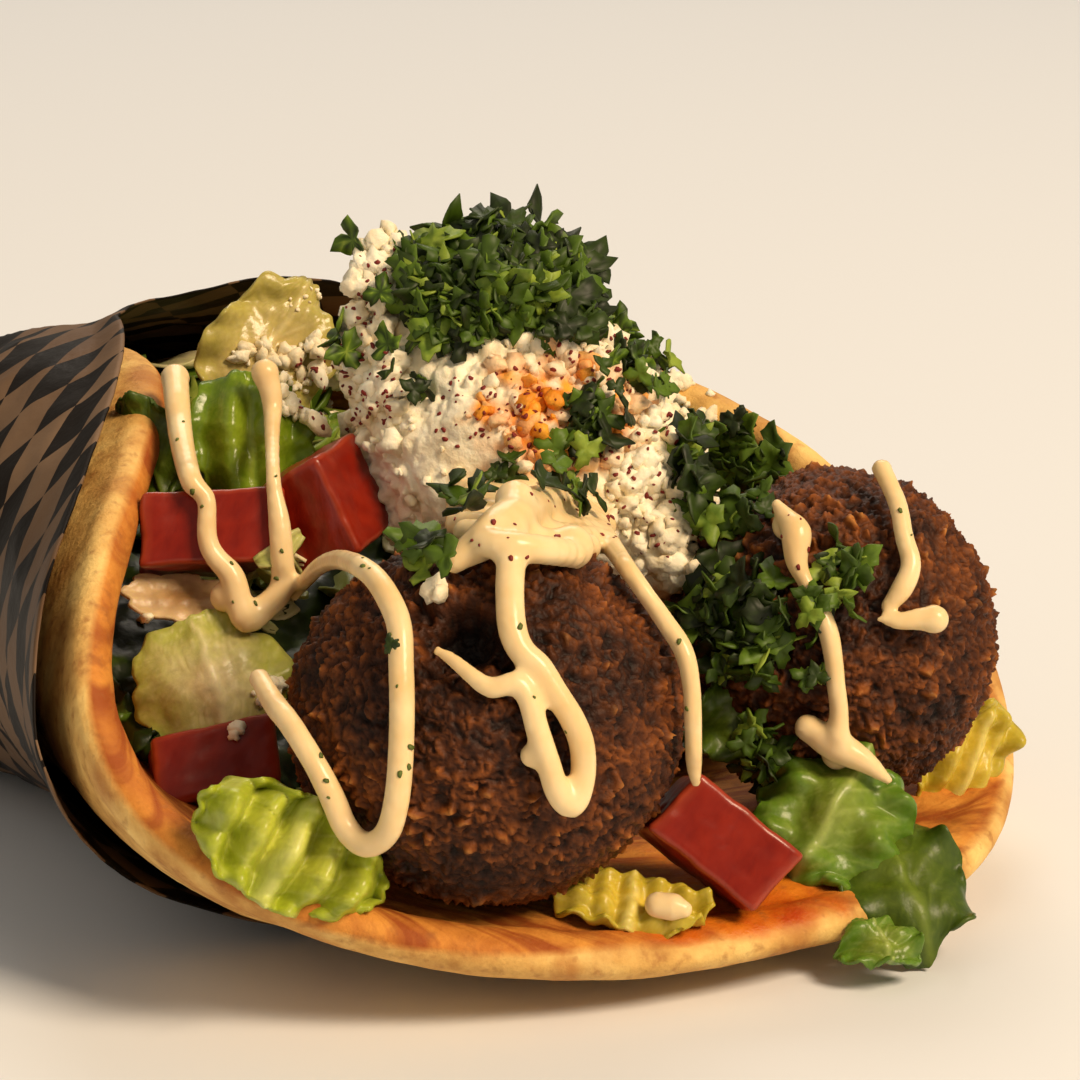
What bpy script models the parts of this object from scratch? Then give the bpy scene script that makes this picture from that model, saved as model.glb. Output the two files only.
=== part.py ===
"""Falafel pita: a folded flatbread in a paper sleeve, with its fillings as separate solids.

The model is worked out in the bread's own frame, in millimetres: the middle of the bread
lies at the origin, the lip points to -Y and the closed tail to +Y. settle() then moves the
whole part so that it stands on z = 0 with its box centred on the origin.
"""
import math

import bmesh
import bpy
import numpy as np
from mathutils import Euler, Matrix, Vector

MM = 0.001
GAP = 0.35                     # clearance kept between neighbouring pieces

# Bread: an oval sheet, folded up round the filling
BREAD_HALF_WIDTH = 93.0        # middle to edge, across the fold
BREAD_FRONT = 109.0            # middle to the lip
BREAD_REAR = 92.0              # middle to the tail end
BREAD_THICK = 7.5
BREAD_PUFF = 0.04              # share by which the thickness swells and thins
BREAD_RINGS = 8
BREAD_SPOKES = 48
EDGE_STEPS = 4                 # facets round the bread's rounded edge
FLOOR_HALF = 13.4              # flat stretch under the fold, each way

# Paper sleeve
FILLING_GAP = 1.3              # slack between the bread and the salad inside
PAPER_THICK = 0.5
PAPER_GAP = 0.9                # slack between the bread and the paper
PAPER_LIFT = BREAD_THICK / 2.0 * (1.0 + BREAD_PUFF) + PAPER_GAP + PAPER_THICK
PAPER_END = 103.0              # where the sleeve is pinched shut
PAPER_ROUND = 36               # facets round the sleeve
PAPER_ROWS = 8
LEFT_SETBACK = 7.0             # from the bread's edge back to the paper's edge
RIGHT_SETBACK = 24.0
FLOOR_SETBACK = 42.0
TOP_SETBACK = 7.0              # further back still where the walls curl over
PAPER_TOP_FRONT = 12.0         # where the paper crosses over the top
PINCH_START = 82.0             # from here to the end the sleeve is pressed flat
PINCH = 0.87                   # share of its height that it loses there

# The filling is dressed to face one way, a little left of the lip
FACING = -42.0
FACING_TILT = 13.0


def smooth(value, start, end):
    """Ease from 0 to 1 as value goes from start to end."""
    t = min(max((value - start) / (end - start), 0.0), 1.0)
    return t * t * (3.0 - 2.0 * t)


def mix(a, b, t):
    return a + (b - a) * t


# ---------------------------------------------------------------- the fold

def wall_shape(y, side):
    """Half axes of the elliptical wall at station y; side is -1 left, +1 right."""
    tail = 1.0 - 0.5 * smooth(y, 0.0, 95.0)
    if side < 0:
        out = mix(56.0, 26.0, smooth(y, -88.0, 6.0))
        up = mix(25.0, 24.4, smooth(y, -10.0, 20.0))
    else:
        out = mix(54.0, 29.0, (y + 110.0) / 185.0)
        up = mix(16.5, 28.0, smooth(y, -98.0, -30.0)) - 4.0 * smooth(y, -15.0, 30.0)
    return out * tail, up * tail


def wall_arc(y, side, steps=90):
    """Angles up the wall and the distance along it at each, floor included."""
    out, up = wall_shape(y, side)
    angle = np.linspace(0.0, 1.12 * math.pi, steps)
    across, height = out * np.sin(angle), up * (1.0 - np.cos(angle))
    run = np.concatenate([[0.0], np.cumsum(np.hypot(np.diff(across), np.diff(height)))])
    return angle, run + FLOOR_HALF


def fold(y, s, lift):
    """A point of the folded sheet: y along, s across the flat sheet, lift off its middle."""
    side = -1.0 if s < 0.0 else 1.0
    reach = abs(s)
    if reach <= FLOOR_HALF:
        return Vector((s, y, lift))
    angle, run = wall_arc(y, side)
    t = float(np.interp(reach, run, angle))
    out, up = wall_shape(y, side)
    normal = Vector((up * math.sin(t), -out * math.cos(t))).normalized()
    x = FLOOR_HALF + out * math.sin(t) - normal.x * lift
    z = up * (1.0 - math.cos(t)) - normal.y * lift
    return Vector((side * x, y, z))


def sheet_front(s):
    """Where the flat sheet's front edge lies at a distance s across it."""
    return -BREAD_FRONT * math.sqrt(max(1.0 - (s / BREAD_HALF_WIDTH) ** 2, 0.0))


def sheet_half(y):
    """Half width of the flat sheet at station y."""
    length = BREAD_FRONT if y < 0.0 else BREAD_REAR
    return BREAD_HALF_WIDTH * math.sqrt(max(1.0 - (y / length) ** 2, 0.0))


# ------------------------------------------------------------- scene helpers

def clear_scene():
    for item in list(bpy.data.objects):
        bpy.data.objects.remove(item, do_unlink=True)


def new_collection(name):
    group = bpy.data.collections.new(name)
    bpy.context.scene.collection.children.link(group)
    return group


def plain_material(name, colour, rough, metal=0.0):
    mat = bpy.data.materials.new(name)
    mat.use_nodes = True
    shader = mat.node_tree.nodes["Principled BSDF"]
    shader.inputs["Base Color"].default_value = (*colour, 1.0)
    shader.inputs["Roughness"].default_value = rough
    shader.inputs["Metallic"].default_value = metal
    mat.diffuse_color = (*colour, 1.0)
    return mat


def add_object(name, bm, colour, rough=0.6, place=(0, 0, 0), turn=None):
    """Make a bmesh in millimetres into a named object of the part."""
    bmesh.ops.scale(bm, vec=(MM, MM, MM), verts=bm.verts)
    mesh = bpy.data.meshes.new(name)
    bm.to_mesh(mesh)
    bm.free()
    item = bpy.data.objects.new(name, mesh)
    item.location = Vector(place) * MM
    if turn is not None:
        item.rotation_euler = turn
    mesh.materials.append(plain_material(name, colour, rough))
    mesh.shade_smooth()
    mesh.set_sharp_from_angle(angle=math.radians(40))
    PARTS.objects.link(item)
    item.parent = CENTRE
    return item


def facing(pitch=0.0, yaw=0.0, spin=0.0):
    """Turn of a piece whose local X is across and Y is up, as seen from the open side."""
    base = Euler((math.radians(90.0 - FACING_TILT), 0.0, math.radians(FACING))).to_matrix()
    own = Euler((math.radians(pitch), math.radians(yaw), math.radians(spin))).to_matrix()
    return (base @ own).to_euler()


def baked(item):
    """The item's evaluated mesh as a bmesh in the frame of the part."""
    graph = bpy.context.evaluated_depsgraph_get()
    graph.update()
    bm = bmesh.new()
    bm.from_mesh(item.evaluated_get(graph).to_mesh())
    bmesh.ops.transform(bm, matrix=item.matrix_world, verts=bm.verts)
    return bm


def swollen_cutter(item, amount=GAP):
    """A guide copy of a neighbour, grown by the clearance, to cut others with.

    A sheet with a ruffled edge would grow into itself, so a leaf is cut out as its hull.
    """
    name = "cutter_" + item.name
    if name in bpy.data.objects:
        return bpy.data.objects[name]
    bm = baked(item)
    if item in LEAVES:
        hull = bmesh.ops.convex_hull(bm, input=bm.verts)
        spare = {part for key in ("geom_interior", "geom_unused") for part in hull[key]}
        bmesh.ops.delete(bm, geom=[part for part in spare if isinstance(part, bmesh.types.BMVert)],
                         context="VERTS")
        keep = {part for part in hull["geom"] if isinstance(part, bmesh.types.BMFace)}
        bmesh.ops.delete(bm, geom=[face for face in bm.faces if face not in keep], context="FACES")
    bmesh.ops.recalc_face_normals(bm, faces=bm.faces)
    bm.normal_update()
    grown = [vert.co + vert.normal * min(vert.calc_shell_factor(), 1.5) * amount * MM
             for vert in bm.verts]
    for vert, spot in zip(bm.verts, grown):
        vert.co = spot
    mesh = bpy.data.meshes.new(name)
    bm.to_mesh(mesh)
    bm.free()
    cutter = bpy.data.objects.new(name, mesh)
    cutter.hide_render = True
    cutter.display_type = "WIRE"
    CUTTERS.objects.link(cutter)
    return cutter


def keep_largest(bm):
    """Drop the crumbs that a cut leaves and keep the piece's main body."""
    left = set(bm.faces)
    bodies = []
    while left:
        seed = left.pop()
        body, edge = {seed}, [seed]
        while edge:
            face = edge.pop()
            for link in (f for e in face.edges for f in e.link_faces):
                if link in left:
                    left.discard(link)
                    body.add(link)
                    edge.append(link)
        bodies.append(body)
    bodies.sort(key=lambda body: sum(face.calc_area() for face in body))
    spare = [face for body in bodies[:-1] for face in body]
    bmesh.ops.delete(bm, geom=spare, context="FACES")
    loose = [vert for vert in bm.verts if not vert.link_faces]
    bmesh.ops.delete(bm, geom=loose, context="VERTS")


def clear_of(item, neighbours):
    """Cut a soft piece back from the neighbours that it rests against."""
    for other in neighbours:
        cut = item.modifiers.new("clear of " + other.name, "BOOLEAN")
        cut.operation = "DIFFERENCE"
        cut.object = swollen_cutter(other)
    bm = baked(item)
    bmesh.ops.transform(bm, matrix=item.matrix_world.inverted(), verts=bm.verts)
    item.modifiers.clear()
    keep_largest(bm)
    bmesh.ops.triangulate(bm, faces=[face for face in bm.faces if len(face.verts) > 4])
    bm.to_mesh(item.data)
    bm.free()


# -------------------------------------------------------------------- bread

def make_pita():
    """A thick oval sheet with a rounded edge, turned flat and then folded."""
    half = BREAD_THICK / 2.0
    profile = []
    for ring in range(BREAD_RINGS):
        profile.append(((ring / BREAD_RINGS) ** 0.8, half))
    for step in range(EDGE_STEPS + 1):
        turn = math.pi / 2.0 - math.pi * step / EDGE_STEPS
        inset = half / BREAD_HALF_WIDTH
        profile.append((1.0 - inset + inset * math.cos(turn), half * math.sin(turn)))
    for ring in reversed(range(BREAD_RINGS)):
        profile.append(((ring / BREAD_RINGS) ** 0.8, -half))

    bm = bmesh.new()
    verts = [bm.verts.new((radius, 0.0, z)) for radius, z in profile]
    edges = [bm.edges.new(pair) for pair in zip(verts, verts[1:])]
    bmesh.ops.spin(bm, geom=verts + edges, cent=(0, 0, 0), axis=(0, 0, 1), steps=BREAD_SPOKES,
                   angle=2.0 * math.pi, use_merge=True)
    bmesh.ops.remove_doubles(bm, verts=bm.verts, dist=0.0001)
    for vert in bm.verts:
        around = math.atan2(vert.co.x, -vert.co.y)
        radius = math.hypot(vert.co.x, vert.co.y)
        wave = 1.0 + radius * (0.008 * math.sin(3.0 * around + 0.6) + 0.006 * math.sin(7.0 * around))
        length = BREAD_FRONT if vert.co.y < 0.0 else BREAD_REAR
        s = vert.co.x * BREAD_HALF_WIDTH * wave
        y = vert.co.y * length * wave
        puff = 1.0 + BREAD_PUFF * math.sin(5.0 * around + 2.0) * radius
        vert.co = fold(y, s, vert.co.z * puff)
    bmesh.ops.recalc_face_normals(bm, faces=bm.faces)
    return add_object("pita", bm, (0.72, 0.42, 0.16), 0.75)


# -------------------------------------------------------------------- paper

def wrap_point(y, turn, lift):
    """A point of the sleeve at station y; turn runs from -1 over the floor to +1, both at the top."""
    side = -1.0 if turn < 0.0 else 1.0
    angle, run = wall_arc(y, side)
    full = float(np.interp(math.pi, angle, run))
    reach = abs(turn) * (full + FLOOR_HALF)
    if reach <= full:
        return fold(y, side * reach, lift)
    left_top = fold(y, -full_run(y, -1.0), lift)
    right_top = fold(y, full_run(y, 1.0), lift)
    middle = (left_top + right_top) / 2.0
    top = left_top if side < 0.0 else right_top
    return top.lerp(middle, (reach - full) / FLOOR_HALF)


def full_run(y, side):
    angle, run = wall_arc(y, side)
    return float(np.interp(math.pi, angle, run))


def paper_front(turn):
    """Where the sleeve's front edge lies, following the bread's edge at a setback."""
    side = -1.0 if turn < 0.0 else 1.0
    y = -20.0
    for settle_round in range(30):
        reach = abs(turn) * (full_run(y, side) + FLOOR_HALF)
        setback = LEFT_SETBACK if side < 0.0 else RIGHT_SETBACK
        setback = mix(FLOOR_SETBACK, setback, smooth(reach, 40.0, 84.0))
        setback += TOP_SETBACK * smooth(reach, 68.0, 88.0)
        edge = sheet_front(min(reach, 0.985 * BREAD_HALF_WIDTH)) + setback
        edge = mix(edge, PAPER_TOP_FRONT, smooth(reach, 84.0, 104.0))
        y = mix(y, edge, 0.4)
    return y


def paper_point(y, turn):
    """The same point on the paper itself: outside the bread, and pressed flat at the tail."""
    spot = wrap_point(y, turn, -PAPER_LIFT)
    flat = 1.0 - PINCH * smooth(y, PINCH_START, PAPER_END)
    spot.z = (spot.z + PAPER_LIFT) * flat - PAPER_LIFT
    spot.x *= 1.0 + 0.3 * (1.0 - flat)
    return spot


def make_paper():
    """A thin sleeve round the bread, open at the front and pinched flat and shut at the tail."""
    bm = bmesh.new()
    rings = []
    for row in range(PAPER_ROWS + 1):
        ring = []
        for step in range(PAPER_ROUND):
            turn = -1.0 + 2.0 * step / PAPER_ROUND
            y = mix(paper_front(turn), PAPER_END, row / PAPER_ROWS)
            ring.append(bm.verts.new(paper_point(y, turn)))
        rings.append(ring)
    heart = sum((vert.co for vert in rings[-1]), Vector()) / PAPER_ROUND
    ring = []
    for vert in rings[-1]:
        spot = heart.lerp(vert.co, 0.6)
        ring.append(bm.verts.new((spot.x, PAPER_END + 1.2, spot.z)))
    rings.append(ring)
    tip = bm.verts.new((heart.x, PAPER_END + 1.5, heart.z))
    for near, far in zip(rings, rings[1:]):
        for i in range(PAPER_ROUND):
            j = (i + 1) % PAPER_ROUND
            bm.faces.new((near[i], near[j], far[j], far[i]))
    for i in range(PAPER_ROUND):
        bm.faces.new((rings[-1][i], rings[-1][(i + 1) % PAPER_ROUND], tip))
    bmesh.ops.recalc_face_normals(bm, faces=bm.faces)
    paper = add_object("paper_wrap", bm, (0.20, 0.12, 0.07), 0.55)
    wall = paper.modifiers.new("wall", "SOLIDIFY")
    wall.thickness = PAPER_THICK * MM
    wall.offset = 1.0
    wall.use_even_offset = True
    return paper


# ----------------------------------------------------------------- lumps

def make_lump(name, centre, radii, colour, rough=0.8, bumps=(), waves=(), segments=22, rings=14):
    """A rounded lump: an ellipsoid with named bulges and a gentle unevenness."""
    bm = bmesh.new()
    bmesh.ops.create_uvsphere(bm, u_segments=segments, v_segments=rings, radius=1.0)
    for vert in bm.verts:
        way = vert.co.normalized()
        grow = 1.0
        for direction, height, width in bumps:
            apart = way.angle(Vector(direction))
            grow += height * math.exp(-(apart / width) ** 2)
        for count, height, phase in waves:
            grow += height * math.sin(count * way.x + phase) * math.sin(count * way.y + 2.0 * phase) \
                * math.cos(count * way.z - phase)
        vert.co = Vector((way.x * radii[0], way.y * radii[1], way.z * radii[2])) * grow
    return add_object(name, bm, colour, rough, centre)


def make_dice(name, centre, size, turn, colour=(0.42, 0.045, 0.02)):
    """A cube of tomato with softened edges, its skin side bowed outward."""
    bm = bmesh.new()
    bmesh.ops.create_cube(bm, size=1.0)
    bmesh.ops.scale(bm, vec=size, verts=bm.verts)
    bmesh.ops.bevel(bm, geom=list(bm.edges), offset=1.1, affect="EDGES", segments=2, profile=0.5,
                    material=-1)
    bmesh.ops.triangulate(bm, faces=[face for face in bm.faces if len(face.verts) > 4])
    for vert in bm.verts:
        across = 2.0 * vert.co.x / size[0]
        if vert.co.z < 0.0:
            vert.co.z -= 1.2 * (1.0 - across * across)
        vert.co.x += 0.10 * vert.co.y
    return add_object(name, bm, colour, 0.3, centre, turn)


# ---------------------------------------------------------------- leaves

def make_leaf(name, centre, size, turn, colour, thick=1.1, cup=0.0, curl=0.0, ruffle=0.0, waves=2.0,
              point=0.45, columns=5, rows=6):
    """A torn piece of leaf: a sheet with a rounded outline, cupped, curled and ruffled."""
    bm = bmesh.new()
    bmesh.ops.create_grid(bm, x_segments=columns, y_segments=rows, size=1.0)
    for vert in bm.verts:
        u, v = vert.co.x, vert.co.y
        narrow = 1.0 - (1.0 - point) * abs(v) ** 2.5
        edge = u * u
        x = u * narrow * size[0] / 2.0
        y = v * (1.0 - 0.12 * edge) * size[1] / 2.0
        z = cup * edge + curl * v * v + ruffle * edge * math.sin(waves * math.pi * v + 2.0 * u)
        z += 0.25 * ruffle * math.sin(5.0 * u)
        vert.co = (x, y, z)
    leaf = add_object(name, bm, colour, 0.45, centre, turn)
    wall = leaf.modifiers.new("wall", "SOLIDIFY")
    wall.thickness = thick * MM
    wall.offset = 0.0
    return leaf


# ---------------------------------------------------------------- filling

def make_filling():
    """The packed salad: a loft that fills the fold, and bulges up between the rims under the paper."""
    lift = BREAD_THICK / 2.0 * (1.0 + BREAD_PUFF) + FILLING_GAP
    stations = [(-66, 8), (-58, 11), (-50, 17), (-42, 25), (-34, 33), (-24, 39), (-10, 44), (8, 44),
                (26, 42), (44, 36), (60, 30), (72, 24), (80, 16), (86, 10)]
    half = 8
    across = 8
    bm = bmesh.new()
    rings = []
    for y, top in stations:
        ring = []
        for side in (-1.0, 1.0):
            angle, run = wall_arc(y, side)
            edge = float(np.interp(sheet_half(y) - 5.0, run, angle))
            up = wall_shape(y, side)[1]
            reach = math.acos(max(1.0 - (top - lift) / up, -0.9))
            s_top = float(np.interp(min(reach, edge), angle, run))
            ring.append([fold(y, side * s_top * k / half, lift) for k in range(1, half + 1)])
        left, right = ring
        ceiling = paper_point(y + 2.0, 1.0).z - 2.0 * FILLING_GAP
        covered = smooth(y, 6.0, 22.0)
        crown = []
        for k in range(1, across):
            t = k / across
            spot = right[-1].lerp(left[-1], t)
            rise = 2.2 * math.sin(math.pi * t) + 0.9 * math.sin(7.0 * t + 0.12 * y)
            bulge = (ceiling - spot.z) * smooth(min(t, 1.0 - t), 0.02, 0.30)
            spot.z += mix(rise, bulge, covered)
            crown.append(spot)
        loop = [fold(y, 0.0, lift)] + right + crown + left[::-1]
        rings.append([bm.verts.new(spot) for spot in loop])
    count = len(rings[0])
    for near, far in zip(rings, rings[1:]):
        for i in range(count):
            j = (i + 1) % count
            bm.faces.new((near[i], near[j], far[j], far[i]))
    for ring, push in ((rings[0], -1.5), (rings[-1], 1.5)):
        tip = bm.verts.new(sum((vert.co for vert in ring), Vector((0.0, push * count, 0.0))) / count)
        for i in range(count):
            bm.faces.new((ring[i], ring[(i + 1) % count], tip))
    bmesh.ops.recalc_face_normals(bm, faces=bm.faces)
    return add_object("salad_filling", bm, (0.16, 0.17, 0.03), 0.6)


# ---------------------------------------------------------------- assembly

def settle():
    """Stand the part on z = 0 with its box centred on the origin."""
    low = Vector((1e9,) * 3)
    high = Vector((-1e9,) * 3)
    for item in PARTS.objects:
        if item.type != "MESH":
            continue
        bm = baked(item)
        for vert in bm.verts:
            low = Vector(map(min, low, vert.co))
            high = Vector(map(max, high, vert.co))
        bm.free()
    CENTRE.location = Vector((-(low.x + high.x) / 2.0, -(low.y + high.y) / 2.0, -low.z))
    size = (high - low) / MM
    print("size in mm: %.1f x %.1f x %.1f" % tuple(size))
    print("shift in mm: %.2f %.2f %.2f" % tuple(CENTRE.location / MM))


clear_scene()
PARTS = new_collection("falafel_pita")
LEAVES = []                    # soft sheets, in the order that they are laid in
CUTTERS = new_collection("cutters")
CENTRE = bpy.data.objects.new("centre", None)
PARTS.objects.link(CENTRE)

pita = make_pita()
paper = make_paper()

falafel_front = make_lump("falafel_front", (-30.0, -85.5, 24.9), (22.4, 21.0, 20.3), (0.15, 0.045, 0.012),
                          bumps=(((-0.4, -0.5, 0.7), 0.03, 0.5), ((0.9, 0.2, 0.3), 0.04, 0.5)),
                          waves=((6.0, 0.05, 0.7),))
falafel_right = make_lump("falafel_right", (23.0, -86.5, 25.2), (19.8, 19.0, 19.8), (0.13, 0.04, 0.012),
                          bumps=(((-0.3, 0.1, 0.9), 0.06, 0.6), ((0.6, -0.6, -0.5), 0.04, 0.5)),
                          waves=((5.0, 0.05, 1.9),))

tomatoes = [
    make_dice("tomato_left", (-32.6, -40.6, 38.2), (16.5, 8.6, 11.0), facing(-8, 4, 3)),
    make_dice("tomato_middle", (-22.0, -46.8, 40.0), (12.0, 12.0, 11.0), facing(6, -28, 28)),
    make_dice("tomato_low", (-43.2, -54.0, 14.8), (14.0, 8.0, 11.0), facing(-12, 10, 12)),
    make_dice("tomato_front", (-10.0, -101.0, 10.2), (13.5, 10.0, 10.0), facing(-25, 12, -32)),
]
rigid = [pita]
for item in [falafel_front, falafel_right] + tomatoes:
    clear_of(item, rigid)
    rigid.append(item)

bright, dark, pale, yellow = (0.36, 0.38, 0.05), (0.05, 0.09, 0.01), (0.50, 0.42, 0.12), (0.70, 0.52, 0.04)
leaves = [
    ("leaf_glossy", (-23.3, -36.0, 48.0), (15.0, 15.0), facing(-10, 10, 0), (0.2, 0.26, 0.02),
     dict(thick=2.2, cup=-3.5, curl=-2.0, ruffle=1.0, point=0.75)),
    ("leaf_dark_left", (-30.5, -25.0, 45.5), (10.0, 12.0), facing(0, -25, 20), dark,
     dict(cup=-1.5, ruffle=0.8)),
    ("leaf_back", (-1.5, -11.0, 51.5), (17.0, 22.0), facing(-12, 10, -32), pale,
     dict(cup=2.0, curl=-1.5, ruffle=1.2)),
    ("onion_slice", (-38.5, -42.0, 31.6), (13.0, 6.0), facing(-35, 8, -4), (0.35, 0.2, 0.06),
     dict(thick=1.6, cup=1.0, point=0.7)),
    ("lettuce_pale", (-42.0, -49.5, 24.4), (16.5, 15.0), facing(-5, 12, 15), (0.45, 0.33, 0.10),
     dict(cup=-3.5, curl=-2.5, ruffle=1.2, waves=3.0, point=0.7)),
    ("lettuce_left", (-46.0, -69.0, 10.2), (22.0, 15.0), facing(-18, 6, -14), bright,
     dict(cup=-2.5, curl=-3.0, ruffle=2.4, waves=2.5, point=0.7)),
    ("lettuce_front", (-19.5, -97.5, 6.4), (16.0, 9.0), facing(-62, 0, -8), (0.60, 0.42, 0.06),
     dict(thick=1.0, cup=0.6, ruffle=1.0, waves=3.0, point=0.6)),
    ("leaf_dark_middle", (5.0, -90.5, 19.5), (12.0, 11.0), facing(0, 15, 25), dark,
     dict(cup=-1.5, ruffle=1.0)),
    ("leaf_green_right", (7.0, -102.5, 11.0), (17.0, 17.0), facing(-20, -10, -30), (0.22, 0.28, 0.04),
     dict(cup=-2.5, curl=-2.5, ruffle=1.8, waves=2.0, point=0.7)),
    ("lettuce_yellow", (39.0, -93.0, 12.4), (11.0, 15.0), facing(-5, 30, -25), yellow,
     dict(cup=-2.0, curl=-1.5, ruffle=1.6, waves=3.0, point=0.6)),
    ("leaf_dark_right", (15.2, -109.0, 7.0), (15.0, 21.0), facing(-45, 14, 24), dark,
     dict(cup=-1.5, curl=-4.5, ruffle=1.4, waves=2.0, point=0.6, columns=6, rows=7)),
    ("leaf_bright_low", (2.3, -113.6, -1.2), (10.0, 8.0), facing(-25, 10, 10), bright,
     dict(cup=-0.8, ruffle=0.7, point=0.6)),
]
for name, centre, size, turn, colour, shape in leaves:
    leaf = make_leaf(name, centre, size, turn, colour, **shape)
    clear_of(leaf, rigid + LEAVES)
    LEAVES.append(leaf)

cheese = make_lump("cheese_mound", (3.0, -53.0, 44.5), (22.0, 21.0, 20.0), (0.85, 0.68, 0.42),
                   bumps=(((0.25, -0.77, -0.42), 0.42, 0.55), ((-0.34, 0.45, 0.80), 0.20, 0.6)),
                   waves=((7.0, 0.05, 0.4),), segments=22, rings=14)
clear_of(cheese, rigid + LEAVES)
parsley = make_lump("parsley_pile", (1.5, -49.5, 62.6), (15.5, 14.5, 11.3), (0.06, 0.10, 0.01),
                    waves=((9.0, 0.08, 1.3),), segments=22, rings=12)
clear_of(parsley, [cheese] + LEAVES)
filling = make_filling()
clear_of(filling, rigid + [cheese] + LEAVES)

settle()
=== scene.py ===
# %% [markdown]
# # Falafel pita
# A folded flatbread in checked paper, filled with salad, two falafel balls, crumbled cheese,
# parsley and a drizzle of sauce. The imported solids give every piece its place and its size.
# This lesson dresses them one after another, from the bread outwards, because each
# topping is dropped onto what already lies under it.

import math
import random
from functools import lru_cache

import bmesh
import bpy
import numpy as np
from mathutils import Euler, Matrix, Vector, noise
from mathutils.bvhtree import BVHTree


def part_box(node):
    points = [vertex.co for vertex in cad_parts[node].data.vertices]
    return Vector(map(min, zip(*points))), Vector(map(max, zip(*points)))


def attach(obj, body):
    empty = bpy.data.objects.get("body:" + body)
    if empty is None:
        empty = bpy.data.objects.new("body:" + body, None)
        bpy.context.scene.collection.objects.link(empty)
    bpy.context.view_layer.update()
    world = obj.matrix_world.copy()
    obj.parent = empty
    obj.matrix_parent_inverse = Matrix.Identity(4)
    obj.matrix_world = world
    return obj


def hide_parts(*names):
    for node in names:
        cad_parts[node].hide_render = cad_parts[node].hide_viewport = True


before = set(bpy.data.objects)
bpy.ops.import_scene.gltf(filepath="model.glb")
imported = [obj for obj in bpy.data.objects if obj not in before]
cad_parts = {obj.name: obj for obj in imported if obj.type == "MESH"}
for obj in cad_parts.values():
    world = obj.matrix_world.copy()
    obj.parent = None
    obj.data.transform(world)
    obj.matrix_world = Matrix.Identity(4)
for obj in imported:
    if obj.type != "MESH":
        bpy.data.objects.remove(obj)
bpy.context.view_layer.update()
MM = 0.001
noise.seed_set(1)        # vector noise starts from the clock if it isn't seeded

# %% [markdown]
# ## Small helpers
# Everything is modelled in millimetres and turned to metres once, when a piece is finished.
# Colours are written as sRGB hex, as a paint chart gives them, and turned to the linear
# values that a shader wants.


# %% Helpers for numbers and colours
def smooth(value, start, end):
    """Ease from 0 to 1 as value goes from start to end."""
    t = min(max((value - start) / (end - start), 0.0), 1.0)
    return t * t * (3.0 - 2.0 * t)


def mix(a, b, t):
    return a + (b - a) * t


def linear(code):
    """An sRGB hex colour as linear red, green, blue and alpha."""
    parts = [int(code[i:i + 2], 16) / 255.0 for i in (1, 3, 5)]
    return tuple(p / 12.92 if p <= 0.04045 else ((p + 0.055) / 1.055) ** 2.4 for p in parts) + (1.0,)


def middle(node):
    """The middle of a solid's box, in millimetres."""
    low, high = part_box(node)
    return (low + high) / 2.0 / MM


print("front ball in the middle of", middle("falafel_front"))


# %% One function adds a node
def add(tree, kind, inputs=None, stops=None, **settings):
    """Add a shader node: inputs are values or sockets by name, stops are those of a ramp."""
    node = tree.nodes.new("ShaderNode" + kind)
    for name, value in settings.items():
        setattr(node, name, value)
    for name, value in (inputs or {}).items():
        if isinstance(value, bpy.types.NodeSocket):
            tree.links.new(value, node.inputs[name])
        else:
            node.inputs[name].default_value = value
    for i, (place, code) in enumerate(stops or []):
        points = node.color_ramp.elements
        point = points[i] if i < 2 else points.new(place)
        point.position = place
        point.color = linear(code)
    return node


def start_material(name, roughness, **values):
    """A new material with its principled shader set; returns material, tree and shader."""
    material = bpy.data.materials.new(name)
    material.use_nodes = True
    shader = material.node_tree.nodes["Principled BSDF"]
    shader.inputs["Roughness"].default_value = roughness
    for key, value in values.items():
        shader.inputs[key.replace("_", " ")].default_value = value
    return material, material.node_tree, shader


# %% Turning a bmesh into a piece of the food
def make_piece(name, bm, material, nodes=(), weld=0.0):
    """Close the bmesh (in millimetres) into an object that rides on the body."""
    if weld:
        bmesh.ops.remove_doubles(bm, verts=bm.verts, dist=weld)
    bmesh.ops.scale(bm, vec=(MM, MM, MM), verts=bm.verts)
    mesh = bpy.data.meshes.new(name)
    bm.to_mesh(mesh)
    bm.free()
    mesh.shade_smooth()
    piece = bpy.data.objects.new(name, mesh)
    bpy.context.scene.collection.objects.link(piece)
    mesh.materials.append(material)
    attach(piece, "root")
    if nodes:
        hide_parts(*nodes)
    print(name, "has", len(mesh.polygons), "faces")
    return piece


def thicken(piece, thickness, offset=0.0):
    """Give a sheet its real thickness in millimetres."""
    wall = piece.modifiers.new("wall", "SOLIDIFY")
    wall.thickness = thickness * MM
    wall.offset = offset
    return piece


# %% [markdown]
# ## The side that faces the diner
# A filled pita is dressed from its open side, a little left of the lip. The camera stands
# there too. Toppings are given by how far they lie across and up, in millimetres, on a plane
# that faces that side, and are dropped along the line from there onto the food.

# %% Where the diner looks from
FACING = -42.0           # degrees round from the lip
TILT = 13.0              # degrees above the table
DISTANCE = 421.3         # millimetres from the heart of the opening
TURN, RISE = math.radians(FACING), math.radians(TILT)
BACK = Vector((math.sin(TURN) * math.cos(RISE), -math.cos(TURN) * math.cos(RISE), math.sin(RISE)))
RIGHT = Vector((math.cos(TURN), math.sin(TURN), 0.0))
UP = BACK.cross(RIGHT)
HEART = middle("falafel_front") + Vector((17.3, 10.6, 15.4))
EYE = HEART + BACK * DISTANCE
print("heart of the opening", HEART, "eye", EYE)


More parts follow.
